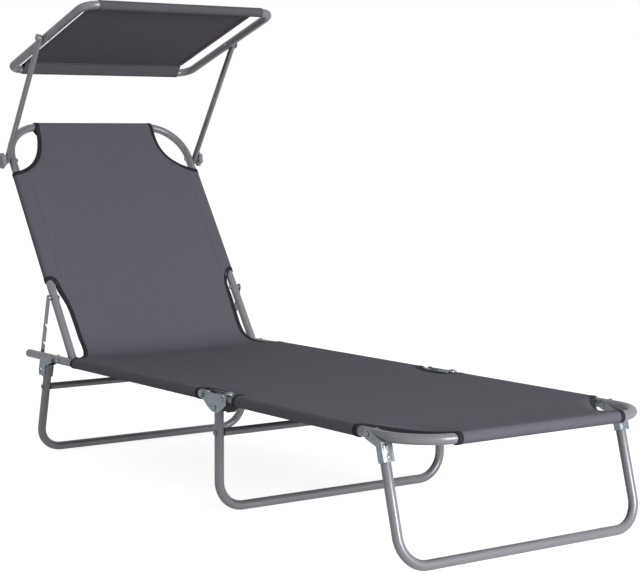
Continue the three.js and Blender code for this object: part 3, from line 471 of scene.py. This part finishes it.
# Crossbars, rivets and bolts, with the radius and height of each kind of head
headLook = {"flat": (0.0055, 0.001), "round": (0.0055, 0.0022), "pin": (0.008, 0.0035), "bolt": (0.005, 0.003),
            "canopy": (0.0095, 0.004), "rimFrom": 0.6, "rimRound": 0.8, "ring": 28}
rivetLook = {"shank": 0.003, "ring": 24, "gap": 0.0003, "plate": 0.002, "cheek": 0.0022, "collar": 0.0055,
             "collarEdge": 0.0003, "collarEnd": 0.2627, "stripFace": 0.2663, "knobEnd": 0.2772}
stubLook = {"start": 0.2664, "end": 0.2796, "edge": 0.0004}
studLook = {"radius": 0.0084, "height": 0.0054, "foot": -0.019, "sunk": 0.001, "rimRound": 0.9}
barLook = {"end": 0.0096, "pinStart": 0.012}
plugLook = {"length": 0.003, "rim": 0.002, "round": 0.0022, "ring": 32}
armLook = {"width": 0.016, "thick": 0.009, "edge": 0.0036, "ring": 32, "middle": 0.0001}
# just clear of a frame tube's wall, and of the inner and outer face of a canopy arm
seatHalf, gap = layout["seatHalf"], rivetLook["gap"]
wall = layout["tubeRadius"] + gap
armInner = layout["canopyHalf"] + layout["canopyRadius"] + gap
armOuter = armInner + armLook["thick"] + gap


def domedHead(x, sign, y, z, kind):
    # a button head: a short cylinder whose outer rim is rounded right over
    radius, height = headLook[kind]
    head = addCylinder(radius, height, headLook["ring"], (x + sign * height / 2, y, z), (0, math.pi / 2, 0))
    rim = height * headLook["rimFrom"]
    return roundRim(head, lambda co: sign * (co.x - x) > rim, height * headLook["rimRound"], 4)


def pinAcross(x0, x1, y, z, radius=rivetLook["shank"], ring=rivetLook["ring"]):
    return straightTube((min(x0, x1), y, z), (max(x0, x1), y, z), radius, ring)


def makeCrossbar(name, node, place, lean, inset, pivotHeight, body):
    depth = pivotHeight - layout["seatHeight"] + layout["crossbarDepth"]
    drop = (depth + inset * math.sin(lean)) / math.cos(lean)
    end, face = seatHalf - barLook["end"], seatHalf + wall
    parts = [pinAcross(-end, end, inset, -drop, layout["crossbarRadius"], headLook["ring"])]
    for sign in sides.values():
        parts.append(pinAcross(sign * (seatHalf - barLook["pinStart"]), sign * face, inset, -drop))
        parts.append(domedHead(sign * face, sign, inset, -drop, "round"))
    finishPiece(joinPieces(parts), name, place, body, [node])


# ends of the shanks across the lounger, measured from its middle
backInner, collarStart = layout["backHalf"] - wall, layout["backHalf"] + wall
plate, cheek = [(seatHalf - wall - thick - gap, seatHalf + wall + thick + gap)
                for thick in (rivetLook["plate"], rivetLook["cheek"])]
# name, node, frame, body, place along and up, inner and outer end, inner and outer head, end of the collar
rivetRows = (
    ("rearLegRivet", "rear_leg_rivet", seatFrame, "seat_frame", (layout["rearPivotY"], 0), plate,
     "flat", "round", None),
    ("frontLegRivet", "front_leg_rivet", seatFrame, "foot_frame", (layout["frontPivotY"], 0), plate,
     "flat", "round", None),
    ("foldPin", "fold_pin", seatFrame, "seat_frame", (-layout["seatLength"], layout["foldPinRise"]), cheek,
     "flat", "pin", None),
    ("hingeRivet", "hinge_rivet", seatFrame, "foot_frame", (layout["hingeRivetY"], 0), cheek, "flat", "flat", None),
    ("midLegRivet", "mid_leg_rivet", seatFrame, "foot_frame", (layout["midLegY"], -layout["midDrop"]), cheek,
     "flat", "flat", None),
    ("reclineRivet", "recline_bolt", seatFrame, "seat_frame", (0, 0), (backInner, seatHalf + wall),
     "round", "flat", seatHalf - wall),
    ("ratchetRivet", "ratchet_pivot", backFrame, "backrest", (layout["ratchetAlong"], 0),
     (backInner, rivetLook["stripFace"]), "round", "flat", rivetLook["collarEnd"]),
    ("knobBolt", "knob_bolt", backFrame, "backrest", (layout["knobAlong"], 0), (backInner, rivetLook["knobEnd"]),
     "bolt", None, None),
    ("canopyBolt", "canopy_bolt", armFrame, "canopy_arms", (layout["armLength"], 0),
     (layout["canopyHalf"] - layout["canopyRadius"] - gap, armOuter), "bolt", "canopy", None),
)


def makeRivets():
    for name, node, place, body, at, (start, end), head, outerHead, collarEnd in rivetRows:
        for side, sign in sides.items():
            parts = [pinAcross(sign * start, sign * end, *at), domedHead(sign * start, -sign, *at, head)]
            if outerHead:
                parts.append(domedHead(sign * end, sign, *at, outerHead))
            if collarEnd:
                # a plain collar between two tubes, its rims just broken
                collar = pinAcross(sign * collarStart, sign * collarEnd, *at, rivetLook["collar"], headLook["ring"])
                parts.append(bevelEdges(collar, rivetLook["collarEdge"]))
            finishSide(joinPieces(parts), name, node, side, place, body)


def makeStubs():
    for side, sign in sides.items():
        stub = pinAcross(sign * stubLook["start"], sign * stubLook["end"], layout["ratchetStubY"], 0)
        bevelEdges(stub, stubLook["edge"])
        finishSide(stub, "ratchetStub", "ratchet_stub", side, seatFrame, "seat_frame")


def makePlugs():
    y = layout["rearOverhang"] + gap
    for side, sign in sides.items():
        x = sign * seatHalf
        plug = straightTube((x, y, 0), (x, y + plugLook["length"], 0), layout["tubeRadius"], plugLook["ring"])
        roundRim(plug, lambda co: co.y > y + plugLook["rim"], plugLook["round"], 4, False)
        finishSide(plug, "railPlug", "end_plug", side, seatFrame, "seat_frame", "plug_plastic")


def makeStuds():
    # upright domed rivets through the foot tube and the stop block below it
    y, height = layout["studY"], studLook["height"]
    for side, sign in sides.items():
        x = sign * seatHalf
        shank = straightTube((x, y, studLook["foot"]), (x, y, wall + studLook["sunk"]), rivetLook["shank"],
                             rivetLook["ring"])
        cap = addCylinder(studLook["radius"], height, headLook["ring"], (x, y, wall + height / 2))
        roundRim(cap, lambda co: co.z > wall + height / 2, height * studLook["rimRound"], 6)
        finishSide(joinPieces([shank, cap]), "stopStud", "stop_stud", side, seatFrame, "foot_frame")


makeCrossbar("rearBar", "rear_crossbar", rearLegFrame, layout["legLean"], layout["legInset"],
             layout["seatHeight"], "rear_leg")
makeCrossbar("middleBar", "mid_crossbar", midLegFrame, layout["midLean"], 0,
             layout["seatHeight"] - layout["midDrop"], "mid_leg")
makeRivets()
makeStubs()
makePlugs()
makeStuds()
print("fasteners turned")


# Pressed plates: the solids' own outlines, cleaned and with their edges softened
plateLook = {"edge": 0.0004, "segments": 2, "merge": 0.00001, "flat": math.radians(2), "sharp": 32}
blockLook = {"edge": 0.001, "segments": 3}


def softenedCopy(node, name, slot, body, look, material=None):
    source = frame["nodes"][node]
    copy = bpy.data.objects.new(name, source.data.copy())
    bpy.context.collection.objects.link(copy)
    copy.matrix_world = source.matrix_world
    selectOnly(copy)
    editStart()
    bpy.ops.mesh.select_all(action="SELECT")
    bpy.ops.mesh.remove_doubles(threshold=plateLook["merge"])
    bpy.ops.mesh.dissolve_limited(angle_limit=plateLook["flat"])
    editEnd()
    bevelEdges(copy, look["edge"], look["segments"], plateLook["sharp"])
    finishPiece(copy, name, identity, body, [node], slot, material=material)


for side in sides:
    for node, name, slot, body, look, material in (
        ("hinge_cheek_outer_", "hingePlateOuter_", "zinc_hardware", "foot_frame", plateLook, None),
        # the inner hinge plates take the darkened copy of the steel: painted shade between the cheeks
        ("hinge_cheek_inner_", "hingePlateInner_", "zinc_hardware", "foot_frame", plateLook, shadedInnerZinc),
        ("front_leg_bracket_", "frontBracket_", "zinc_hardware", "front_leg", plateLook, None),
        ("rear_leg_bracket_", "rearBracket_", "zinc_hardware", "rear_leg", plateLook, None),
        ("ratchet_strip_", "notchedStrip_", "zinc_hardware", "ratchet_" + side, plateLook, None),
        ("stop_block_", "stopBlock_", "stop_plastic", "foot_frame", blockLook, None),
    ):
        softenedCopy(node + side, name + side, slot, body, look, material)
print("plates softened")


# Canopy frame, arms and star knobs
knobLook = {"radius": 0.019, "lobes": 6, "dip": 0.0034, "thick": 0.011, "round": 0.0024, "ring": 96,
            "cap": 0.0095, "capHeight": 0.0008, "capEdge": 0.00048, "capRing": 40, "hub": 0.008, "hubHeight": 0.0015,
            "hubSunk": 0.002, "hubEdge": 0.0006, "hubRing": 32}


def makeCanopyLoop():
    half, across = layout["canopyDepth"] / 2, layout["canopyHalf"]
    loop = bendTube([(-across, -half, 0), (across, -half, 0), (across, half, 0), (-across, half, 0)],
                    layout["canopyBend"], layout["canopyRadius"], tubeLook["canopyRing"], True)
    finishPiece(loop, "canopyLoop", canopyFrame, "canopy_frame", ["canopy_tube"])


def makeArms():
    for side, sign in sides.items():
        # a round bar end, drawn out along the arm and pressed flat-sided
        arm = addCylinder(armLook["width"] / 2, armLook["thick"], armLook["ring"],
                          (sign * (armInner + armLook["thick"] / 2), 0, 0), (0, math.pi / 2, 0))
        editStart()
        pickVertices(arm, lambda co: co.y > armLook["middle"])
        bpy.ops.transform.translate(value=(0, layout["armLength"], 0))
        editEnd()
        bevelEdges(arm, armLook["edge"], 6)
        finishSide(arm, "canopyArm", "canopy_arm", side, armFrame, "canopy_arms", "frame_paint")


def makeKnobs():
    look = knobLook
    for side, sign in sides.items():
        star = addCylinder(look["radius"], look["thick"], look["ring"])
        editStart()
        mesh = bmesh.from_edit_mesh(star.data)
        for vertex in mesh.verts:
            angle = math.atan2(vertex.co.y, vertex.co.x)
            dip = look["dip"] * (0.5 - 0.5 * math.cos(look["lobes"] * angle))
            vertex.co.xy *= 1 - dip / look["radius"]
        bmesh.update_edit_mesh(star.data)
        editEnd()
        bevelEdges(star, look["round"], 4)
        # a shallow round cap in the middle of the outer face
        cap = addCylinder(look["cap"], look["capHeight"] * 2, look["capRing"], (0, 0, look["thick"] / 2))
        bevelEdges(cap, look["capEdge"], 3)
        hub = addCylinder(look["hub"], look["hubHeight"] + look["hubSunk"], look["hubRing"],
                          (0, 0, -look["thick"] / 2 - look["hubHeight"] / 2))
        bevelEdges(hub, look["hubEdge"])
        reach = armOuter + look["hubHeight"] + look["thick"] / 2
        place = backFrame @ Matrix.Translation((sign * reach, layout["knobAlong"], 0))
        place = place @ Matrix.Rotation(sign * math.pi / 2, 4, "Y")
        finishSide(joinPieces([star, cap, hub]), "starKnob", "star_knob", side, place, "knob_" + side,
                   "knob_plastic")


makeCanopyLoop()
makeArms()
makeKnobs()
print("canopy frame made")


# Cloth: each sheet is worked out flat, across by along, and laid on the frame by where that point goes
clothLook = {"thick": 0.0012, "sag": 0.005, "fade": 0.12, "stitch": 0.027, "row": 0.008, "edgeDroop": 0.013,
             "droopReach": 0.045, "hemEdge": 0.003, "columns": 0.015, "middle": 0.15,
             "outerColumns": 8, "cornerFade": 0.1, "barSeam": 0.05, "nearly": 0.000001, "smooth": 50}
tapeLook = {"width": 0.010, "gap": 0.0001, "thick": 0.0005, "over": 0.0004, "round": 0.7, "bulge": 0.4}
canopyLook = {"half": 0.217, "thick": 0.001, "sag": 0.004, "fade": 0.15, "sideStitch": 0.009, "stitch": 0.028,
              "hemGap": 0.004}
droopLook = {"start": 0.118, "waist": 0.8, "back": 0.6, "hinge": 0.5, "foot": 1.0}
# how cloth goes round an edge: radius of its outer face, then where its lower ply is sewn to the upper one
tubeTurn = {"radius": 0.0112, "inset": 0.030, "drop": 0.0026}
canopyTurn = {"radius": 0.0110, "inset": 0.030, "drop": 0.0022}
hemTurn = {"radius": 0.0014, "inset": 0.012, "drop": 0.0021}
# the fold between seat and backrest: an arc that both planes run into at the same distance from the pivot
foldLook = {"radius": 0.098}
foldLook["end"] = (foldLook["radius"] + tubeTurn["radius"]) * math.tan(layout["backAngle"] / 2)
foldLook["start"] = foldLook["end"] - foldLook["radius"] * layout["backAngle"]
foldLook["shift"] = foldLook["start"] + foldLook["end"]
for turn in (tubeTurn, canopyTurn, hemTurn):
    seam = Vector((-turn["inset"], turn["radius"] - turn["drop"]))
    leave = math.atan2(seam.y, seam.x) + math.acos(turn["radius"] / seam.length)
    turn["angle"] = (math.pi / 2 - leave) % (2 * math.pi)
    turn["ply"] = math.sqrt(seam.length ** 2 - turn["radius"] ** 2)
    turn["reach"] = turn["radius"] * turn["angle"] + turn["ply"]


def smoothStep(value):
    value = min(1, max(0, value))
    return value * value * (3 - 2 * value)


def evenly(start, end, step):
    count = max(1, round(abs(end - start) / step + 0.49))
    return [start + (end - start) * index / count for index in range(count + 1)]


def roundEdge(past, turn):
    # out, up and the facing angle of cloth that has gone past the top of a tube, and its share of the lower ply
    if past <= 0:
        return past, turn["radius"], math.pi / 2, 0
    angle = math.pi / 2 - min(past / turn["radius"], turn["angle"])
    beyond = max(0, past - turn["radius"] * turn["angle"])
    out = turn["radius"] * math.cos(angle) + beyond * math.sin(angle)
    up = turn["radius"] * math.sin(angle) - beyond * math.cos(angle)
    return out, up, angle, beyond / turn["ply"]


def turnSteps(turn, steps=18, ply=0.006):
    around = turn["radius"] * turn["angle"]
    return evenly(0, around, around / steps)[1:] + evenly(around, turn["reach"], ply)[1:]


def bezier(corners, steps):
    a, b, c, d = [Vector(corner) for corner in corners]
    shares = [index / steps for index in range(steps + 1)]
    return [(1 - t) ** 3 * a + 3 * t * (1 - t) ** 2 * b + 3 * t * t * (1 - t) * c + t ** 3 * d for t in shares]


def upperPath(along):
    # along the seat, round the fold, up the backrest
    height = layout["seatHeight"] + tubeTurn["radius"]
    if along <= foldLook["start"]:
        return frameAt(along - foldLook["shift"], height, 0)
    if along >= foldLook["end"]:
        return backFrame @ Matrix.Translation((0, along, tubeTurn["radius"]))
    angle = (along - foldLook["start"]) / foldLook["radius"]
    return frameAt(foldLook["radius"] * math.sin(angle) - foldLook["end"],
                   height + foldLook["radius"] * (1 - math.cos(angle)), angle)


def lowerPath(along):
    return frameAt(-along, layout["seatHeight"] + tubeTurn["radius"], 0)


def canopyPath(along):
    return canopyFrame @ Matrix.Translation((0, along, canopyTurn["radius"]))


def upperHalf(along):
    # the side tubes are wider apart on the seat than on the backrest
    share = smoothStep((along - waistStart) / (waistEnd - waistStart))
    return wide + (narrow - wide) * share


def upperDroop(along):
    # the free edges hang back a little: most just below the sleeve's end, and in the top corners
    share = (along - droopLook["start"]) / (waistEnd - droopLook["start"])
    below = math.sin(math.pi * share ** 2) if 0 < share < 1 else 0
    return below * droopLook["waist"] + cutDroop(along, backSleeveEnd, backBar) * droopLook["back"]


def lowerDroop(along):
    return (cutDroop(along, cutStart, cutEnd) * droopLook["hinge"]
            + cutDroop(along, footSleeveEnd, footBar) * droopLook["foot"])


def cutDroop(along, start, end):
    share = (along - start) / (end - start)
    return math.sin(math.pi * share) if 0 < share < 1 else 0


def barShift(across, straight):
    # the bar is drawn in towards its rounded corners
    over = max(0, abs(across) - straight)
    return layout["cornerBend"] - math.sqrt(max(0, layout["cornerBend"] ** 2 - over ** 2))


def layCloth(sheet, across, along, lift=0.0):
    # the place in the scene of a point of the flat cloth, raised off its outer face by lift
    side, reach = math.copysign(1, across), abs(across)
    way = math.copysign(1, along) if sheet["bothEnds"] else sheet["forward"]
    length = abs(along) if sheet["bothEnds"] else along
    half, bar, sideTurn, barTurn = sheet["half"](along), sheet["bar"], sheet["sideTurn"], sheet["barTurn"]
    sideOut, sideUp, sideAngle, sidePly = roundEdge(reach - half, sideTurn)
    barOut, barUp, barAngle, barPly = roundEdge(length - bar, barTurn)
    flat = min(reach, half) if sidePly == 0 else half - sideTurn["inset"] * sidePly
    toBar = max(0, bar - length) if barPly == 0 else barTurn["inset"] * barPly
    share = (sidePly if reach > half else 1) * (barPly if length > bar else 1)
    sag = sheet["sag"] * (1 - (flat / half) ** 2) * smoothStep(toBar / sheet["fade"]) * share
    # the lower ply of a bar sleeve hangs just as the upper one does above it
    hang = min(length, bar) - (barTurn["inset"] * barPly if length > bar else 0)
    edge = (sheet["outline"](math.copysign(hang, along)) - reach) / clothLook["droopReach"]
    # beside the tube the edge can't hang lower than the tube's own round lets it
    beside = min(sideTurn["radius"], max(0, half - reach))
    lowest = math.sqrt(sideTurn["radius"] ** 2 - beside ** 2)
    room = sideTurn["radius"] - lowest if half - reach < sideTurn["radius"] else 1
    droop = min(room, clothLook["edgeDroop"] * sheet["droop"](hang) * min(1, max(0, 1 - edge)) ** 2)
    up = sideUp - sideTurn["radius"] + barUp - barTurn["radius"] - sag - droop
    shift = barShift(across, sheet["straight"]) if sheet["straight"] else 0
    drawnIn = shift * smoothStep(1 - (bar - length) / clothLook["cornerFade"])
    place = Vector((side * (half + sideOut), -way * drawnIn, up))
    normal = Vector((side * math.cos(sideAngle), 0, math.sin(sideAngle)))
    if length > bar:
        place.y = way * (barOut - shift)
        normal = Vector((0, way * math.cos(barAngle), math.sin(barAngle)))
    clamped = math.copysign(min(length, bar), along) if sheet["bothEnds"] else min(along, bar)
    return sheet["path"](clamped) @ (place + normal * lift)


def outlineOf(points):
    # the half width of the cloth at a place along it, from the points of its cut edge
    widths, alongs = zip(*points)
    return lambda along: float(np.interp(along, alongs, widths))


def hingeCut(centre, length, depth, wide, steps=16, power=2.6):
    points = []
    for index in range(steps + 1):
        angle = math.pi * index / steps
        along = -math.copysign(abs(math.cos(angle)) ** (2 / power), math.cos(angle))
        points.append(Vector((wide - depth * abs(math.sin(angle)) ** (2 / power), centre + length * along)))
    return points


def sleeveEdge(half, start, end):
    return [Vector((half, along)) for along in evenly(start, end, clothLook["row"])]


def barEdge(half, bar, turn):
    return [Vector((half, bar))] + [Vector((half, bar + past)) for past in turnSteps(turn)]


waistStart, waistEnd, backSleeveEnd, backBar, backOpen = -0.0490, 0.208, 0.514, 0.651, 0.165
cutStart, cutEnd, footSleeveEnd, footBar, footOpen = 0.6345, 0.7635, 1.172, 1.329, 0.196
seamY = 0.300
wide, narrow = layout["seatHalf"], layout["backHalf"]
backScallop = bezier([(narrow, backSleeveEnd), (0.1969, 0.5304), (0.165, 0.5757), (0.1667, 0.6414)], 20)
waist = (bezier([(wide, waistStart), (0.256, waistStart + 0.008), (0.2240, -0.006), (0.2240, 0.035)], 18)
         + bezier([(0.2240, 0.035), (0.2240, 0.125), (0.2310, 0.203), (narrow, waistEnd)], 24)[1:])
footScallop = bezier([(wide, footSleeveEnd), (0.2550, 1.2000), (0.198, 1.255), (0.1977, 1.317)], 20)
cut = hingeCut((cutStart + cutEnd) / 2, (cutEnd - cutStart) / 2, 0.019, wide)
bothSlings = {
    "bothEnds": False, "sideTurn": tubeTurn, "barTurn": tubeTurn, "sag": clothLook["sag"],
    "fade": clothLook["fade"], "sideStitch": clothLook["stitch"], "stitch": clothLook["stitch"],
}
upperSling = {
    **bothSlings, "half": upperHalf, "bar": backBar, "straight": 0.154, "forward": 1, "path": upperPath,
    "droop": upperDroop,
    "sleeves": [(foldLook["shift"] - seamY, waistStart), (waistEnd, backSleeveEnd)],
    "edge": (sleeveEdge(wide, foldLook["shift"] - seamY, waistStart) + waist[1:]
             + sleeveEdge(narrow, waistEnd, backSleeveEnd)[1:] + backScallop[1:]
             + barEdge(backOpen, backBar, tubeTurn)),
}
lowerSling = {
    **bothSlings, "half": lambda along: wide, "bar": footBar, "straight": 0.185, "forward": -1,
    "path": lowerPath, "droop": lowerDroop, "sleeves": [(seamY, cutStart), (cutEnd, footSleeveEnd)],
    "edge": (sleeveEdge(wide, seamY, cutStart) + cut[1:] + sleeveEdge(wide, cutEnd, footSleeveEnd)[1:]
             + footScallop[1:] + barEdge(footOpen, footBar, tubeTurn)),
}
canopyBar = layout["canopyDepth"] / 2
canopyHemEnd = canopyBar - canopyTurn["inset"] - canopyLook["hemGap"]
canopyRear = (sleeveEdge(canopyLook["half"], canopyHemEnd, canopyBar)
              + barEdge(canopyLook["half"], canopyBar, canopyTurn)[1:])
canopySheet = {
    "half": lambda along: canopyLook["half"], "bar": canopyBar, "straight": 0, "forward": 1, "bothEnds": True,
    "path": canopyPath, "sideTurn": hemTurn, "barTurn": canopyTurn, "sag": canopyLook["sag"],
    "fade": canopyLook["fade"], "droop": lambda along: 0, "sideStitch": canopyLook["sideStitch"],
    "stitch": canopyLook["stitch"], "sleeves": [(-canopyHemEnd, canopyHemEnd)],
    "edge": ([Vector((point.x, -point.y)) for point in reversed(canopyRear)]
             + sleeveEdge(canopyLook["half"], -canopyHemEnd, canopyHemEnd)[1:-1] + canopyRear),
}
for sheet in (upperSling, lowerSling, canopySheet):
    sheet["outline"] = outlineOf(sheet["edge"])


def inSleeve(sheet, first, second):
    nearly = clothLook["nearly"]
    return any(start - nearly <= first and second <= end + nearly for start, end in sheet["sleeves"])


def seamAt(sheet, across, along):
    # distance to the nearest sewn line, the way along it, and whether there is one here
    reach, half = abs(across), sheet["half"](along)
    length = abs(along) if sheet["bothEnds"] else along
    if length > sheet["bar"]:
        return sheet["bar"] + sheet["barTurn"]["reach"] - clothLook["hemEdge"] - length, across, 1
    if length > sheet["bar"] - clothLook["barSeam"]:
        return length - (sheet["bar"] - sheet["stitch"]), across, 1
    if reach > half:
        return half + sheet["sideTurn"]["reach"] - clothLook["hemEdge"] - reach, along, 1
    return reach - (half - sheet["sideStitch"]), along, int(inSleeve(sheet, along, along))


def buildSheet(sheet, name):
    # a grid of quads: the columns across, then on each side those that go round the tube
    middle = clothLook["middle"]
    inner = evenly(-middle, middle, clothLook["columns"])
    outer = [(index + 1) / clothLook["outerColumns"] for index in range(clothLook["outerColumns"])]
    coords, flats, seams, rows, faces = [], [], [], [], []
    for edge in sheet["edge"]:
        outwards = [middle + (edge.x - middle) * share for share in outer]
        if inSleeve(sheet, edge.y, edge.y):
            outwards += [edge.x + past for past in turnSteps(sheet["sideTurn"])]
        columns = [-across for across in reversed(outwards)] + inner + outwards
        rows.append({"first": len(coords), "count": len(columns), "along": edge.y})
        for across in columns:
            coords.append(layCloth(sheet, across, edge.y))
            flats.append((across, edge.y))
            seams.append(seamAt(sheet, across, edge.y))
    for low, high in zip(rows, rows[1:]):
        count = low["count"] if inSleeve(sheet, low["along"], high["along"]) else len(inner) + 2 * len(outer)
        lowStart = low["first"] + (low["count"] - count) // 2
        highStart = high["first"] + (high["count"] - count) // 2
        for index in range(count - 1):
            face = (lowStart + index, lowStart + index + 1, highStart + index + 1, highStart + index)
            faces.append(face if sheet["forward"] > 0 else face[::-1])
    return sheetObject(name, coords, faces, flats, seams)


def sheetObject(name, coords, faces, flats, seams):
    mesh = bpy.data.meshes.new(name)
    mesh.from_pydata(coords, [], faces)
    mesh.update()
    uv = mesh.uv_layers.new(name="clothMap")
    loopVertices = np.empty(len(mesh.loops), dtype=np.int32)
    mesh.loops.foreach_get("vertex_index", loopVertices)
    uv.data.foreach_set("uv", np.array(flats, dtype=np.float32)[loopVertices].ravel())
    if seams:
        attribute = mesh.attributes.new("seam", "FLOAT_VECTOR", "POINT")
        attribute.data.foreach_set("vector", np.array(seams, dtype=np.float32).ravel())
    obj = bpy.data.objects.new(name, mesh)
    bpy.context.collection.objects.link(obj)
    return obj


def bindEdge(sheet, curve, name, side):
    # binding tape folded over a cut edge: a thin U that follows it, its open side towards the cloth
    width, gap, thick, over, curl, bulge = (tapeLook[field] for field in ("width", "gap", "thick", "over",
                                                                          "round", "bulge"))
    low = -clothLook["thick"] - gap
    profile = [(width, gap + thick), (width / 2, gap + thick), (0, gap + thick),
               (-over * curl - gap, gap + thick * bulge), (-over - gap, -clothLook["thick"] / 2),
               (-over * curl - gap, low - thick * bulge), (0, low - thick), (width / 2, low - thick),
               (width, low - thick), (width, low), (width / 2, low), (-gap, low), (-gap, gap), (width / 2, gap),
               (width, gap)]
    travelled = [0]
    for before, after in zip(curve, curve[1:]):
        travelled.append(travelled[-1] + (after - before).length)
    coords, flats, faces = [], [], []
    for index, point in enumerate(curve):
        heading = (curve[min(index + 1, len(curve) - 1)] - curve[max(index - 1, 0)]).normalized()
        inward = Vector((-heading.y, heading.x))
        for inset, lift in profile:
            place = point + inward * inset
            coords.append(layCloth(sheet, side * place.x, place.y, lift))
            flats.append((travelled[index], inset))
    count = len(profile)
    for row in range(len(curve) - 1):
        for column in range(count):
            following = (column + 1) % count
            faces.append((row * count + column, row * count + following, (row + 1) * count + following,
                          (row + 1) * count + column))
    faces.append(tuple(range(count)))
    faces.append(tuple(range(len(curve) * count - 1, (len(curve) - 1) * count - 1, -1)))
    obj = sheetObject(name, coords, faces, flats, [])
    selectOnly(obj)
    editStart()
    faceOutwards()
    editEnd()
    return obj


def ringEdge(half, along, outwards):
    # the end of a side sleeve, from its lower ply up to the top of the tube, or the other way
    ring = [Vector((half + past, along)) for past in reversed(turnSteps(tubeTurn))]
    return ring[::-1] if outwards else ring


bindings = {
    "backTop": (upperSling, ringEdge(narrow, backSleeveEnd, False) + backScallop
                + barEdge(backOpen, backBar, tubeTurn), ("backrest",)),
    "waist": (upperSling, ringEdge(wide, waistStart, False) + waist + ringEdge(narrow, waistEnd, True),
              ("seat_frame", "backrest")),
    "hingeCut": (lowerSling, ringEdge(wide, cutStart, False) + cut + ringEdge(wide, cutEnd, True),
                 ("seat_frame", "foot_frame")),
    "footEnd": (lowerSling, ringEdge(wide, footSleeveEnd, False) + footScallop
                + barEdge(footOpen, footBar, tubeTurn), ("foot_frame",)),
}


def makeBindings():
    for name, (sheet, curve, bodies) in bindings.items():
        for sideName, side in sides.items():
            piece = bindEdge(sheet, curve, name + "Binding_" + sideName, side)
            single = bodies[0] if len(bodies) == 1 else None
            finishPiece(piece, piece.name, identity, single, (), "sling_fabric", clothLook["smooth"], tape)
            if not single:
                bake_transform(piece)


def makeSheet(sheet, name, slot, thick):
    cloth = buildSheet(sheet, name)
    applyModifier(cloth, "clothThickness", "SOLIDIFY", thickness=thick, offset=-1, use_even_offset=True)
    finishPiece(cloth, name, identity, None, (), slot, clothLook["smooth"])
    return cloth


makeBindings()
back = makeSheet(upperSling, "backSling", "sling_fabric", clothLook["thick"])
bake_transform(back)
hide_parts("sling_back", "sling_recline_fold")
seat = makeSheet(lowerSling, "seatSling", "sling_fabric", clothLook["thick"])
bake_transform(seat)
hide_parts("sling_foot", "sling_mid_fold", "sling_seat")
shade = makeSheet(canopySheet, "canopyShade", "canopy_fabric", canopyLook["thick"])
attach(shade, "canopy_frame")
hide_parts("canopy_fabric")
print("cloth laid")


# Floor, white studio and lamps
stageLook = {"floor": 0.65, "roughness": 0.95, "size": 60, "glow": 0.82, "world": 0.38}
lampLook = {
    "keyLamp": {"place": (0.6, -4.6, 1.20), "target": (0, 0, 0.45), "size": 1.8, "power": 200},
    "fillLamp": {"place": (-3.4, 0.6, 2.6), "target": (0, 0.2, 0.4), "size": 2.4, "power": 10},
}


def addLamp(name, place, target, size, power):
    bpy.ops.object.light_add(type="AREA", location=place)
    lamp = bpy.context.object
    lamp.name = name
    lamp.data.shape = "DISK"
    lamp.data.size = size
    lamp.data.energy = power
    aim = Vector(target) - Vector(place)
    lamp.rotation_euler = aim.to_track_quat("-Z", "Y").to_euler()
    deselect()


def seenAsWhite(tree):
    # 1 for what the camera sees, straight or by reflection, and 0 for light that falls on the lounger
    ray = addNode(tree, "ShaderNodeLightPath").outputs
    seen = ray["Is Camera Ray"]
    for kind in ("Is Glossy Ray", "Is Transmission Ray"):
        seen = calculate(tree, "MAXIMUM", seen, ray[kind])
    return seen


def makeStage():
    # a matt pale floor that also glows a little where it is seen, so that only its shadows read as grey
    bpy.ops.mesh.primitive_plane_add(size=stageLook["size"], location=(0, 0, 0))
    floor = applyPlace()
    floor.name = "studioFloor"
    tone = stageLook["floor"]
    material, tree, shader = startMaterial("paleFloor", (tone, tone, tone), stageLook["roughness"], gloss=0)
    shader.inputs["Emission Color"].default_value = (1, 1, 1, 1)
    glow = calculate(tree, "MULTIPLY", seenAsWhite(tree), stageLook["glow"])
    tree.links.new(glow, shader.inputs["Emission Strength"])
    floor.data.materials.append(material)
    deselect()


def makeWorld():
    # white for the camera and in reflections, softer for the light that falls on the lounger
    world = bpy.data.worlds.new("studio")
    bpy.context.scene.world = world
    world.use_nodes = True
    tree = world.node_tree
    background = tree.nodes["Background"]
    background.inputs["Color"].default_value = (1, 1, 1, 1)
    strength = addNode(tree, "ShaderNodeMix", {"Factor": seenAsWhite(tree), "A": stageLook["world"], "B": 1.0})
    tree.links.new(strength.outputs["Result"], background.inputs["Strength"])


makeStage()
makeWorld()
for lampName, settings in lampLook.items():
    addLamp(lampName, **settings)
bpy.context.scene.view_settings.view_transform = "Standard"
print("stage set")
